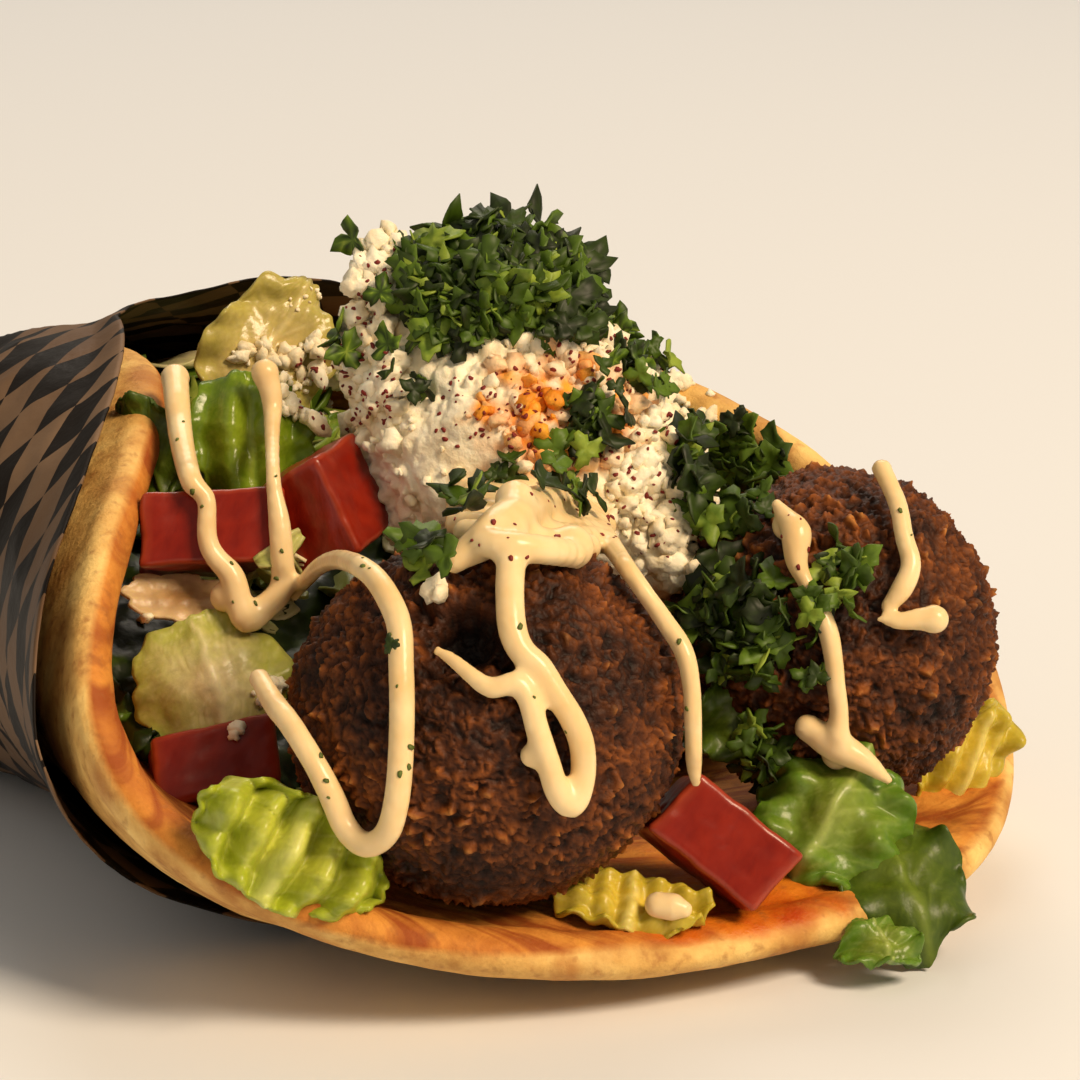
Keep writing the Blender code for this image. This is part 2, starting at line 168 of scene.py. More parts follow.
# %% Dropping things onto the food
def surface_of(*items):
    """One tree of faces, in metres, for casting onto the finished pieces."""
    graph = bpy.context.evaluated_depsgraph_get()
    graph.update()
    corners, faces = [], []
    for item in items:
        mesh = item.evaluated_get(graph).to_mesh()
        start = len(corners)
        corners.extend(vert.co / MM for vert in mesh.vertices)
        faces.extend([start + index for index in face.vertices] for face in mesh.polygons)
    return BVHTree.FromPolygons(corners, faces)


def drop(surface, across, up):
    """Where a thing lands that is dropped at (across, up): its place and the surface's normal."""
    aim = HEART + RIGHT * across + UP * up
    way = (aim - EYE).normalized()
    spot, normal, _, _ = surface.ray_cast(EYE, way)
    if spot is None:
        return None, None
    if normal.dot(way) > 0.0:
        normal = -normal
    return spot, normal


def rest_depth(surface, across, up, reach):
    """How far from the eye the nearest thing is, at a place or just beside it."""
    depths = []
    for side, rise in ((0, 0), (1, 0), (-1, 0), (0, 1), (0, -1)):
        aim = HEART + RIGHT * (across + side * reach) + UP * (up + rise * reach)
        spot = surface.ray_cast(EYE, (aim - EYE).normalized())[0]
        if spot is not None:
            depths.append((spot - EYE).length)
    return min(depths) if depths else float("nan")


def on_plane(spot):
    """Across and up of a point, as the diner sees it."""
    way = spot - EYE
    way *= DISTANCE / -way.dot(BACK)
    flat = EYE + way - HEART
    return flat.dot(RIGHT), flat.dot(UP)


def facing(pitch=0.0, yaw=0.0, spin=0.0):
    """Turn of a piece whose local X is across and Y is up, as seen from the open side."""
    base = Euler((math.radians(90.0 - TILT), 0.0, math.radians(FACING))).to_matrix()
    own = Euler((math.radians(pitch), math.radians(yaw), math.radians(spin))).to_matrix()
    return base @ own


# %% [markdown]
# ## The fold
# The bread is an oval sheet that is bent up along both sides, so its section is a flat floor
# with an elliptical wall at each side. A point of the flat sheet is carried to its place by
# running along that section. The paper follows the same section, a little further out.

# %% The section of the fold
HALF_WIDTH = 93.0        # middle of the bread to its edge, across the fold
LIP = 109.0              # middle to the lip
TAIL = 92.0              # middle to the tail
THICK = 7.5              # of the bread
FLOOR_HALF = 13.4        # flat stretch under the fold, each way


def wall_shape(y, side):
    """Half axes of the wall at station y; side is -1 left, +1 right."""
    tail = 1.0 - 0.5 * smooth(y, 0.0, 95.0)
    if side < 0:
        out = mix(56.0, 26.0, smooth(y, -88.0, 6.0))
        up = mix(25.0, 24.4, smooth(y, -10.0, 20.0))
    else:
        out = mix(54.0, 29.0, (y + 110.0) / 185.0)
        up = mix(16.5, 28.0, smooth(y, -98.0, -30.0)) - 4.0 * smooth(y, -15.0, 30.0)
    return out * tail, up * tail


@lru_cache(maxsize=None)
def wall_arc(y, side, steps=90):
    """Angles up the wall and the distance along it at each, floor included."""
    out, up = wall_shape(y, side)
    angle = np.linspace(0.0, 1.12 * math.pi, steps)
    across, height = out * np.sin(angle), up * (1.0 - np.cos(angle))
    run = np.concatenate([[0.0], np.cumsum(np.hypot(np.diff(across), np.diff(height)))])
    return angle, run + FLOOR_HALF


def fold(y, s, lift):
    """A point of the folded sheet: y along, s across the flat sheet, lift off its middle."""
    side = -1.0 if s < 0.0 else 1.0
    reach = abs(s)
    if reach <= FLOOR_HALF:
        return Vector((s, y, lift))
    station = round(y, 1)
    angle, run = wall_arc(station, side)
    t = float(np.interp(reach, run, angle))
    out, up = wall_shape(station, side)
    normal = Vector((up * math.sin(t), -out * math.cos(t))).normalized()
    x = FLOOR_HALF + out * math.sin(t) - normal.x * lift
    z = up * (1.0 - math.cos(t)) - normal.y * lift
    return Vector((side * x, y, z))


def sheet_half(y):
    """Half width of the flat sheet at station y."""
    length = LIP if y < 0.0 else TAIL
    return HALF_WIDTH * math.sqrt(max(1.0 - (y / length) ** 2, 0.0))


# %% [markdown]
# ## The flatbread
# A soft griddled flatbread is pale and floury on its rim, with brown streaks where it
# lay on the hot plate. A turned profile gives the sheet with a rounded rim, every
# point of it is then carried into the fold, and soft noise makes it pillowy. The UV map holds
# millimetres along the rim and in from the rim, so that the streaks can run with the rim.

# %% Model the flatbread
RINGS, SPOKES, RIM_STEPS = 76, 300, 14
STAIN_AT, STAIN_SIZE = (21.0, -40.5), (15.0, 6.5)     # chilli oil on the lip, across and up


def disc_profile():
    """Radius and height of the sheet from the middle of its top, round the rim, and back."""
    half = THICK / 2.0
    inset = half / HALF_WIDTH
    top = [(1.0 - inset) * (ring / RINGS) ** 0.85 for ring in range(RINGS)]
    rim = [math.pi / 2.0 - math.pi * step / RIM_STEPS for step in range(RIM_STEPS + 1)]
    points = [(radius, half) for radius in top]
    points += [(1.0 - inset + inset * math.cos(turn), half * math.sin(turn)) for turn in rim]
    return points + [(radius, -half) for radius in reversed(top)]


def flatbread():
    bm = bmesh.new()
    verts = [bm.verts.new((radius, 0.0, height)) for radius, height in disc_profile()]
    edges = [bm.edges.new(pair) for pair in zip(verts, verts[1:])]
    bmesh.ops.spin(bm, geom=verts + edges, cent=(0, 0, 0), axis=(0, 0, 1), steps=SPOKES,
                   angle=2.0 * math.pi, use_merge=True)
    bmesh.ops.remove_doubles(bm, verts=bm.verts, dist=0.00001)
    uv = bm.loops.layers.uv.new("rim_mm")
    inside = bm.verts.layers.float.new("inside")
    for face in bm.faces:
        turns = [math.atan2(loop.vert.co.x, -loop.vert.co.y) for loop in face.loops]
        wraps = max(turns) - min(turns) > math.pi
        for loop, turn in zip(face.loops, turns):
            if wraps and turn < 0.0:
                turn += 2.0 * math.pi
            radius = math.hypot(loop.vert.co.x, loop.vert.co.y)
            loop[uv].uv = (turn * HALF_WIDTH, (1.0 - radius) * HALF_WIDTH)
    for vert in bm.verts:
        around = math.atan2(vert.co.x, -vert.co.y)
        radius = math.hypot(vert.co.x, vert.co.y)
        wave = 1.0 + radius * (0.008 * math.sin(3.0 * around + 0.6) + 0.006 * math.sin(7.0 * around))
        length = LIP if vert.co.y < 0.0 else TAIL
        s = vert.co.x * HALF_WIDTH * wave
        y = vert.co.y * length * wave
        flat = Vector((s, y, 0.0))
        puff = 1.0 + 0.04 * math.sin(5.0 * around + 2.0) * radius
        puff += 0.10 * noise.noise(flat / 11.0) * smooth(radius, 0.2, 0.6)
        rolled_out = smooth(-math.sin(around), 0.25, 0.65) * smooth(-vert.co.y, -0.6, -0.1)
        vert[inside] = vert.co.z / (THICK / 2.0) + 1.1 * rolled_out
        puff -= smooth(radius, 0.82, 0.98) * (0.20 + 0.12 * math.cos(around))
        lift = vert.co.z * puff
        if vert.co.z > 0.0:
            inset = (1.0 - radius) * HALF_WIDTH
            fold_line = math.exp(-((inset - 5.0 - noise.noise(flat / 9.0)) / 1.1) ** 2)
            lift -= 0.9 * fold_line * (0.6 + noise.noise(flat / 14.0))
        wrinkle = 0.32 * noise.noise(Vector((s / 6.0, y / 6.0, lift / 5.0)))
        wrinkle += 0.14 * noise.noise(Vector((s / 2.2, y / 2.2, lift / 2.0)))
        vert.co = fold(y, s, lift + wrinkle * (1.0 if lift > 0.0 else 0.7))
    bmesh.ops.recalc_face_normals(bm, faces=bm.faces)
    return bm


bread_mesh = flatbread()
low = Vector([min(vert.co[axis] for vert in bread_mesh.verts) for axis in range(3)])
high = Vector([max(vert.co[axis] for vert in bread_mesh.verts) for axis in range(3)])
pita_low, pita_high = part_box("pita")
PLACE = (pita_low + pita_high) / 2.0 / MM - (low + high) / 2.0
bmesh.ops.translate(bread_mesh, vec=PLACE, verts=bread_mesh.verts)
stain = bread_mesh.verts.layers.float.new("stain")
inside = bread_mesh.verts.layers.float["inside"]
for vert in bread_mesh.verts:
    across, up = on_plane(vert.co)
    apart = math.hypot((across - STAIN_AT[0]) / STAIN_SIZE[0], (up - STAIN_AT[1]) / STAIN_SIZE[1])
    soaked = 1.0 - smooth(apart + 0.5 * noise.noise(vert.co / 3.0), 0.45, 1.1)
    vert[stain] = soaked * smooth(vert[inside], 0.0, 0.7)
print("the bread's middle lies at", PLACE)


# %% [markdown]
# Griddled flatbread: the dough is pale wheat, floury and matt, and the hot plate leaves
# toasted streaks and freckles. The streaks are stretched noise along the rim. A spot of chilli
# oil has soaked in near the lip.

# %% Finish of the flatbread
def griddled_dough():
    material, tree, shader = start_material("griddled flatbread dough", 0.68, IOR=1.4)
    uv = add(tree, "UVMap", uv_map="rim_mm").outputs["UV"]
    place = add(tree, "TexCoord").outputs["Object"]
    mottle = add(tree, "TexNoise", {"Vector": place, "Scale": 1.0 / (8.0 * MM), "Detail": 6.0,
                                    "Roughness": 0.6})
    base = add(tree, "ValToRGB", {"Fac": mottle.outputs["Fac"]},
               stops=[(0.36, "#bd8a45"), (0.64, "#f2cc7c"), (0.50, "#dfb062")])
    patch = add(tree, "TexNoise", {"Vector": place, "Scale": 1.0 / (15.0 * MM), "Detail": 5.0,
                                   "Distortion": 0.6})
    browned = add(tree, "MapRange", {"Value": patch.outputs["Fac"], "From Min": 0.52, "From Max": 0.68,
                                     "To Max": 0.75})
    crusty = add(tree, "Mix", {0: browned.outputs["Result"], 6: base.outputs["Color"],
                               7: linear("#b27030")}, data_type="RGBA")
    turned = add(tree, "Mapping", {"Vector": uv, "Rotation": (0.0, 0.0, 0.45)})
    along = add(tree, "Mapping", {"Vector": turned.outputs["Vector"], "Scale": (1 / 15.0, 1 / 2.3, 1.0)})
    streak = add(tree, "TexNoise", {"Vector": along.outputs["Vector"], "Scale": 1.0, "Detail": 4.0,
                                    "Distortion": 0.5})
    toast = add(tree, "MapRange", {"Value": streak.outputs["Fac"], "From Min": 0.44, "From Max": 0.60,
                               "To Max": 0.9})
    inside = add(tree, "Attribute", attribute_name="inside")
    where = add(tree, "MapRange", {"Value": inside.outputs["Fac"], "From Min": 0.48, "From Max": 0.78})
    amount = add(tree, "Math", {0: toast.outputs["Result"], 1: where.outputs["Result"]},
                 operation="MULTIPLY")
    toasted = add(tree, "Mix", {0: amount.outputs["Value"], 6: crusty.outputs[2],
                                7: linear("#a05a20")}, data_type="RGBA")
    warm = add(tree, "Mix", {0: where.outputs["Result"], 6: toasted.outputs[2],
                             7: linear("#f0c48c")}, data_type="RGBA", blend_type="MULTIPLY")
    oil = add(tree, "Attribute", attribute_name="stain").outputs["Fac"]
    pool = add(tree, "ValToRGB", {"Fac": mottle.outputs["Fac"]},
               stops=[(0.35, "#b8400c"), (0.65, "#e0801f")])
    oiled = add(tree, "Mix", {0: oil, 6: warm.outputs[2], 7: pool.outputs["Color"]}, data_type="RGBA")
    freckle = add(tree, "TexNoise", {"Vector": place, "Scale": 1.0 / (1.8 * MM), "Detail": 4.0})
    spots = add(tree, "MapRange", {"Value": freckle.outputs["Fac"], "From Min": 0.56, "From Max": 0.72,
                                   "To Max": 0.55})
    mixed = add(tree, "Mix", {0: spots.outputs["Result"], 6: oiled.outputs[2],
                              7: linear("#9a5c28")}, data_type="RGBA")
    tree.links.new(mixed.outputs[2], shader.inputs["Base Color"])
    wet = add(tree, "MapRange", {"Value": oil, "To Min": 0.68, "To Max": 0.30})
    tree.links.new(wet.outputs["Result"], shader.inputs["Roughness"])
    pores = add(tree, "TexNoise", {"Vector": place, "Scale": 1.0 / (1.6 * MM), "Detail": 7.0,
                                   "Roughness": 0.65})
    bump = add(tree, "Bump", {"Height": pores.outputs["Fac"], "Strength": 0.55, "Distance": 0.7 * MM})
    tree.links.new(bump.outputs["Normal"], shader.inputs["Normal"])
    return material


bread = make_piece("flatbread", bread_mesh, griddled_dough(), ["pita"])

# %% [markdown]
# ## The paper sleeve
# Sandwich paper is a thin, slightly waxy sheet. It hugs the bread, stands off it a little at its
# cut edge, crumples, and is pinched shut at the tail. The print is a traditional pattern of
# long diamonds. The UV map counts diamonds along and across, so one checker draws them.

# %% Section of the sleeve
PAPER_OFF = THICK / 2.0 * 1.04 + 1.4         # outside the middle of the bread
PAPER_END = 103.0
PAPER_ROWS, PAPER_ROUND = 110, 260
DIAMOND_LONG, DIAMOND_WIDE = 12.6, 6.6# round the sleeve and along it


def full_run(y, side):
    angle, run = wall_arc(round(y, 1), side)
    return float(np.interp(math.pi, angle, run))


def wrap_point(y, turn, lift):
    """A point of the sleeve; turn runs from -1 over the floor to +1, both at the top."""
    side = -1.0 if turn < 0.0 else 1.0
    full = full_run(y, side)
    reach = abs(turn) * (full + FLOOR_HALF)
    if reach <= full:
        return fold(y, side * reach, lift)
    left_top = fold(y, -full_run(y, -1.0), lift)
    right_top = fold(y, full_run(y, 1.0), lift)
    top = left_top if side < 0.0 else right_top
    return top.lerp((left_top + right_top) / 2.0, (reach - full) / FLOOR_HALF)


@lru_cache(maxsize=None)
def paper_front(turn):
    """Where the sleeve's cut edge lies, following the bread's rim at a setback."""
    side = -1.0 if turn < 0.0 else 1.0
    y = -20.0
    for _ in range(30):
        reach = abs(turn) * (full_run(y, side) + FLOOR_HALF)
        setback = mix(42.0, 7.0 if side < 0.0 else 24.0, smooth(reach, 40.0, 84.0))
        setback += 7.0 * smooth(reach, 68.0, 88.0)
        part = min(reach / HALF_WIDTH, 0.985)
        edge = mix(setback - LIP * math.sqrt(1.0 - part * part), 12.0, smooth(reach, 84.0, 104.0))
        y = mix(y, edge, 0.4)
    return y


# %% Model the sleeve
def crumple(spot, strength):
    """Outward push of the creased paper: broad dents with sharp ridges between them."""
    ridge = 1.0 - abs(noise.noise(spot / 17.0)) * 2.2
    fine = 1.0 - abs(noise.noise(spot / 7.0 + Vector((3.0, 8.0, 1.0)))) * 2.4
    return strength * max(0.9 * ridge + 0.4 * fine, -0.2)


PAPER_CLEAR = 0.35        # the sleeve's inner face over the table


def paper_sleeve():
    bm = bmesh.new()
    bmesh.ops.create_grid(bm, x_segments=PAPER_ROUND, y_segments=PAPER_ROWS, size=1.0)
    uv = bm.loops.layers.uv.new("diamonds")
    place = {}
    for vert in bm.verts:
        turn, row = vert.co.x, (vert.co.y + 1.0) / 2.0
        front = paper_front(round(turn, 4))
        y = mix(front, PAPER_END, row)
        edge = smooth(1.0 - row, 0.93, 1.0)
        spot = wrap_point(y, turn, -PAPER_OFF)
        flat = 1.0 - 0.87 * smooth(y, 82.0, PAPER_END)
        outer = wrap_point(y, turn, -PAPER_OFF - 1.0) - spot
        reach = turn * (full_run(y, math.copysign(1.0, turn)) + FLOOR_HALF)
        place[vert] = (y / DIAMOND_WIDE, reach / DIAMOND_LONG)
        under = smooth(abs(turn), 0.08, 0.22)
        push = crumple(spot, 0.8) * under * mix(0.35, 1.0, smooth(row, 0.0, 0.25)) + 1.2 * edge * under
        spot += outer * (push + 0.1)
        spot.z = (spot.z + PAPER_OFF) * flat - PAPER_OFF
        spot.x *= 1.0 + 0.3 * (1.0 - flat)
        vert.co = spot + PLACE
        vert.co.z = max(vert.co.z, PAPER_CLEAR)
    for face in bm.faces:
        for loop in face.loops:
            along, round_it = place[loop.vert]
            loop[uv].uv = (along + round_it, along - round_it)
    bmesh.ops.remove_doubles(bm, verts=bm.verts, dist=0.02)
    rear = [edge for edge in bm.edges if edge.is_boundary and edge.verts[0].co.y > PAPER_END + PLACE.y - 0.5
            and edge.verts[1].co.y > PAPER_END + PLACE.y - 0.5]
    bmesh.ops.holes_fill(bm, edges=rear, sides=0)
    bmesh.ops.recalc_face_normals(bm, faces=bm.faces)
    return bm


# %% [markdown]
# Printed sandwich paper: waxed greaseproof stock with brown-black ink, half shiny, its
# creases rubbed a little lighter. Its pale ground is given a dull brown, which is partly painted shade.

# %% Finish of the sleeve
def printed_paper():
    material, tree, shader = start_material("waxed sandwich paper", 0.55, IOR=1.45)
    shader.inputs["Specular IOR Level"].default_value = 0.18
    uv = add(tree, "UVMap", uv_map="diamonds").outputs["UV"]
    place = add(tree, "TexCoord").outputs["Object"]
    wobble = add(tree, "TexNoise", {"Vector": place, "Scale": 1.0 / (14.0 * MM), "Detail": 2.0})
    shift = add(tree, "VectorMath", {0: wobble.outputs["Color"], 1: (0.22, 0.22, 0.0)},
                operation="MULTIPLY")
    moved = add(tree, "VectorMath", {0: uv, 1: shift.outputs["Vector"]}, operation="ADD")
    # painted shade, in part: the pale diamonds are a dull brown, as the paper looks in shade
    checker = add(tree, "TexChecker", {"Vector": moved.outputs["Vector"], "Scale": 1.0,
                                       "Color1": linear("#150d07"), "Color2": linear("#7f664f")})
    cloud = add(tree, "TexNoise", {"Vector": place, "Scale": 1.0 / (22.0 * MM), "Detail": 6.0})
    shade = add(tree, "ValToRGB", {"Fac": cloud.outputs["Fac"]},
                stops=[(0.30, "#b9aca0"), (0.72, "#ffffff")])
    worn = add(tree, "Mix", {0: 1.0, 6: checker.outputs["Color"], 7: shade.outputs["Color"]},
               data_type="RGBA", blend_type="MULTIPLY")
    tree.links.new(worn.outputs[2], shader.inputs["Base Color"])
    grease = add(tree, "MapRange", {"Value": cloud.outputs["Fac"], "From Min": 0.35, "From Max": 0.65,
                                    "To Min": 0.46, "To Max": 0.66})
    tree.links.new(grease.outputs["Result"], shader.inputs["Roughness"])
    crease = add(tree, "TexNoise", {"Vector": place, "Scale": 1.0 / (5.0 * MM), "Detail": 4.0})
    bump = add(tree, "Bump", {"Height": crease.outputs["Fac"], "Strength": 0.4, "Distance": 0.8 * MM})
    tree.links.new(bump.outputs["Normal"], shader.inputs["Normal"])
    return material


sleeve = make_piece("paper_sleeve", paper_sleeve(), printed_paper(), ["paper_wrap"])
thicken(sleeve, 0.25, 1.0)

# %% [markdown]
# ## The falafel
# Falafel is a coarse paste of chickpeas and herbs, fried until its crumb stands up rough and
# brown. Bump alone would leave a smooth outline, so the crumb is real relief: a fine sphere is
# pushed out and in by cell noise, grain by grain. How deep a point lies is stored with the
# mesh, so that painted shade can darken the crevices and the crests can be painted lighter.

# %% Model a fried ball
BALL_CUTS = 126          # cuts across each face of the cube that becomes the ball


def grains(spot, size):
    """Height from 0 to 1 of a bed of rounded grains of the given size."""
    near, far = noise.voronoi(spot / size)[0][:2]
    return min((far - near) * 1.5, 1.0)


def even_ball(cuts):
    """A unit sphere whose faces are all of a size: a cube's grid, spread out and blown up."""
    bm = bmesh.new()
    bmesh.ops.create_cube(bm, size=2.0)
    bmesh.ops.subdivide_edges(bm, edges=bm.edges, cuts=cuts, use_grid_fill=True)
    for vert in bm.verts:
        vert.co = Vector([math.tan(value * math.pi / 4.0) for value in vert.co]).normalized()
    return bm


def fried_ball(node, radii, centre, seed, dents=()):
    """A rough ball; dents are (direction, radius, depth) in millimetres."""
    bm = even_ball(BALL_CUTS)
    depth = bm.verts.layers.float.new("depth")
    tone = bm.verts.layers.float.new("tone")
    nudge = Vector((seed, 2.0 * seed, -seed))
    hollows = [(Vector(way).normalized(), wide, deep) for way, wide, deep in dents]
    for vert in bm.verts:
        way = vert.co.normalized()
        spot = Vector((way.x * radii[0], way.y * radii[1], way.z * radii[2]))
        lump = 0.9 * noise.noise(spot / 9.0 + nudge) + 0.45 * noise.noise(spot / 4.5 - nudge)
        torn = spot + 0.9 * noise.noise_vector(spot / 1.3)
        coarse = grains(torn + nudge, 1.7)
        fine = grains(torn - nudge, 0.9)
        grit = noise.noise(spot / 0.6) + 0.6 * noise.noise(spot / 0.33)
        crevice = smooth(noise.noise(torn / 2.0 + 3.0 * nudge), 0.10, 0.60)
        proud = 0.45 + 0.9 * smooth(noise.noise(spot / 3.0 - 2.0 * nudge), -0.4, 0.5)
        height = 0.75 * coarse * proud + 0.42 * fine + 0.20 * grit - 0.45 * crevice
        # the stored depth paints shade into the low crumb and a highlight onto the crests
        vert[depth] = min(max(0.36 + 0.48 * height, 0.0), 1.0)
        vert[tone] = noise.noise(spot / 7.0 + 5.0 * nudge) + 0.9 * noise.noise(spot / 1.1)
        for direction, wide, deep in hollows:
            ragged = 1.0 + 0.45 * noise.noise(way * 5.0 + nudge) + 0.15 * noise.noise(way * 16.0)
            apart = (way - direction).length * radii[0] * ragged
            fall = 1.0 - smooth(apart, wide * 0.35, wide)
            height -= deep * fall
            # painted shadow: the dent is darkened as well as sunk
            vert[depth] *= 1.0 - 0.8 * fall
        vert.co = centre + spot + way * (lump + height - 0.6)
    return bm


# %% [markdown]
# Deep-fried crust: dry, hard and brown, with painted shade that makes the crevices nearly black
# and painted highlights on the toasted crumbs of the crests. A little oil gives it a dull gloss.

# %% Finish of the falafel
def fried_crust():
    material, tree, shader = start_material("deep-fried chickpea crust", 0.55, IOR=1.45)
    shader.inputs["Specular IOR Level"].default_value = 0.25
    # painted shade and highlight, partly toast colour: near black in the crevices, light brown on the crests
    depth = add(tree, "Attribute", attribute_name="depth").outputs["Fac"]
    tone = add(tree, "Attribute", attribute_name="tone").outputs["Fac"]
    place = add(tree, "TexCoord").outputs["Object"]
    base = add(tree, "ValToRGB", {"Fac": depth},
               stops=[(0.16, "#170b05"), (0.72, "#8a5223"), (0.42, "#4e2a11"), (0.95, "#c48d4e")])
    warm = add(tree, "MapRange", {"Value": tone, "From Min": -0.7, "From Max": 0.8})
    hue = add(tree, "ValToRGB", {"Fac": warm.outputs["Result"]},
              stops=[(0.15, "#8c7c6c"), (0.85, "#ffecd0")])
    varied = add(tree, "Mix", {0: 1.0, 6: base.outputs["Color"], 7: hue.outputs["Color"]},
                 data_type="RGBA", blend_type="MULTIPLY")
    tree.links.new(varied.outputs[2], shader.inputs["Base Color"])
    crumb = add(tree, "TexNoise", {"Vector": place, "Scale": 1.0 / (0.5 * MM), "Detail": 4.0})
    bump = add(tree, "Bump", {"Height": crumb.outputs["Fac"], "Strength": 0.6, "Distance": 0.3 * MM})
    tree.links.new(bump.outputs["Normal"], shader.inputs["Normal"])
    return material


crust = fried_crust()
ball_front = make_piece("falafel_ball_front", fried_ball(
    "falafel_front", (22.2, 20.9, 20.2), Vector((-30.0, -85.5, 24.9)) + PLACE, 3.7,
    dents=[(BACK - 0.12 * RIGHT + 0.58 * UP, 6.0, 5.0)]), crust, ["falafel_front"])
ball_right = make_piece("falafel_ball_right", fried_ball(
    "falafel_right", (19.8, 18.9, 19.7), Vector((23.0, -86.5, 25.2)) + PLACE, 8.2),
    crust, ["falafel_right"])

# %% [markdown]
# ## The tomato
# Diced tomato has crisp, wet, flat cuts and one side of skin that bows outward. A cube is
# bevelled and subdivided, its skin side bowed, and the cuts get a gentle waviness. Along its
# edges the colour is made paler, so how close a point is to an edge is stored with the mesh.

# %% Model a die of tomato
def tomato_die(centre, size, turn, seed):
    bm = bmesh.new()
    bmesh.ops.create_cube(bm, size=1.0)
    bmesh.ops.scale(bm, vec=size, verts=bm.verts)
    bmesh.ops.bevel(bm, geom=list(bm.edges), offset=0.7, affect="EDGES", segments=3, profile=0.5,
                    material=-1)
    bmesh.ops.subdivide_edges(bm, edges=[edge for edge in bm.edges if edge.calc_length() > 3.0],
                              cuts=15, use_grid_fill=True)
    edge_layer = bm.verts.layers.float.new("edge")
    for vert in bm.verts:
        share = sorted(abs(2.0 * vert.co[axis] / size[axis]) for axis in range(3))
        near_edge = (1.0 - share[1]) * min(size) / 2.0
        vert[edge_layer] = 1.0 - smooth(near_edge, 0.10, 0.60)
        across = 2.0 * vert.co.x / size[0]
        skin = smooth(-vert.co.z / size[2], 0.1, 0.5)
        spot = vert.co + Vector((seed, 0.0, -seed))
        wave = 0.4 * noise.noise(spot / 4.0) + 0.16 * noise.noise(spot / 1.2)
        vert.co += vert.co.normalized() * wave
        vert.co.z -= 1.2 * skin * (1.0 - across * across)
        vert.co.x += 0.10 * vert.co.y
        vert.co = centre + PLACE + turn @ vert.co
    return bm


# %% [markdown]
# Ripe tomato: wet red flesh that lets some light in, smooth and glossy where it was cut, with
# paler fibres and pale lines along the cut edges.

# %% Finish of the tomato
def wet_tomato():
    material, tree, shader = start_material("cut ripe tomato", 0.30, IOR=1.36)
    shader.inputs["Subsurface Weight"].default_value = 0.10
    shader.inputs["Subsurface Radius"].default_value = (0.004, 0.0008, 0.0004)
    shader.inputs["Coat Weight"].default_value = 0.12
    shader.inputs["Coat Roughness"].default_value = 0.15
    place = add(tree, "TexCoord").outputs["Object"]
    fibre = add(tree, "Mapping", {"Vector": place, "Rotation": (0.3, 0.5, 0.9),
                                  "Scale": (1 / 0.006, 1 / 0.0012, 1 / 0.003)})
    strand = add(tree, "TexNoise", {"Vector": fibre.outputs["Vector"], "Scale": 1.0, "Detail": 3.0})
    base = add(tree, "ValToRGB", {"Fac": strand.outputs["Fac"]},
               stops=[(0.30, "#761305"), (0.80, "#8e2009")])
    edge = add(tree, "Attribute", attribute_name="edge")
    pale = add(tree, "Math", {0: edge.outputs["Fac"], 1: 0.40}, operation="MULTIPLY")
    mixed = add(tree, "Mix", {0: pale.outputs["Value"], 6: base.outputs["Color"],
                              7: linear("#c8603f")}, data_type="RGBA")
    tree.links.new(mixed.outputs[2], shader.inputs["Base Color"])
    bump = add(tree, "Bump", {"Height": strand.outputs["Fac"], "Strength": 0.25, "Distance": 0.4 * MM})
    tree.links.new(bump.outputs["Normal"], shader.inputs["Normal"])
    return material


tomato = wet_tomato()
DICE = {
    "tomato_left": (Vector((-32.6, -40.6, 38.2)), (16.5, 8.6, 11.0), facing(-8, 4, 3)),
    "tomato_middle": (Vector((-22.0, -46.8, 40.0)), (12.0, 12.0, 11.0), facing(6, -28, 28)),
    "tomato_low": (Vector((-43.2, -54.0, 14.8)), (14.0, 8.0, 11.0), facing(-12, 10, 12)),
    "tomato_front": (Vector((-10.0, -101.0, 10.2)), (14.6, 8.4, 9.5), facing(-9, 5, -39)),
}
dice = [make_piece("die_of_" + node, tomato_die(centre, size, turn, float(i)), tomato, [node])
        for i, (node, (centre, size, turn)) in enumerate(DICE.items())]

# %% [markdown]
# ## The salad leaves
# Each torn leaf is a sheet: a grid whose outline is rounded and ragged, then cupped, curled
# and ruffled towards its edge. A midrib and slanting side veins are pressed into it as relief,
# and stored with the mesh so that the finish can make them paler.

# %% Model a leaf
LEAF_GRID = 44
TABLE_CLEAR = 0.5        # mm; no leaf hangs lower than this over the table


def vein_strength(u, v, count, slant, seed):
    """From 0 between the veins to 1 on them: a midrib and side veins that slant from it."""
    wander = noise.noise(Vector((2.2 * u, 2.2 * v, seed)))
    u, v = u + 0.14 * wander, v + 0.16 * noise.noise(Vector((2.6 * v, 2.6 * u, seed + 7.0)))
    rib = math.exp(-(u / mix(0.075, 0.025, (v + 1.0) / 2.0)) ** 2)
    phase = (v - slant * abs(u) ** 0.8) * count + (0.35 if u > 0.0 else 0.0)
    side = math.exp(-((phase - round(phase)) / 0.075) ** 2) * (1.0 - abs(u) ** 2)
    fine = (v + slant * u + 0.3 * wander) * count * 2.3
    net = math.exp(-((fine - round(fine)) / 0.12) ** 2) * 0.2
    return min(max(rib, 0.55 * side, net), 1.0)


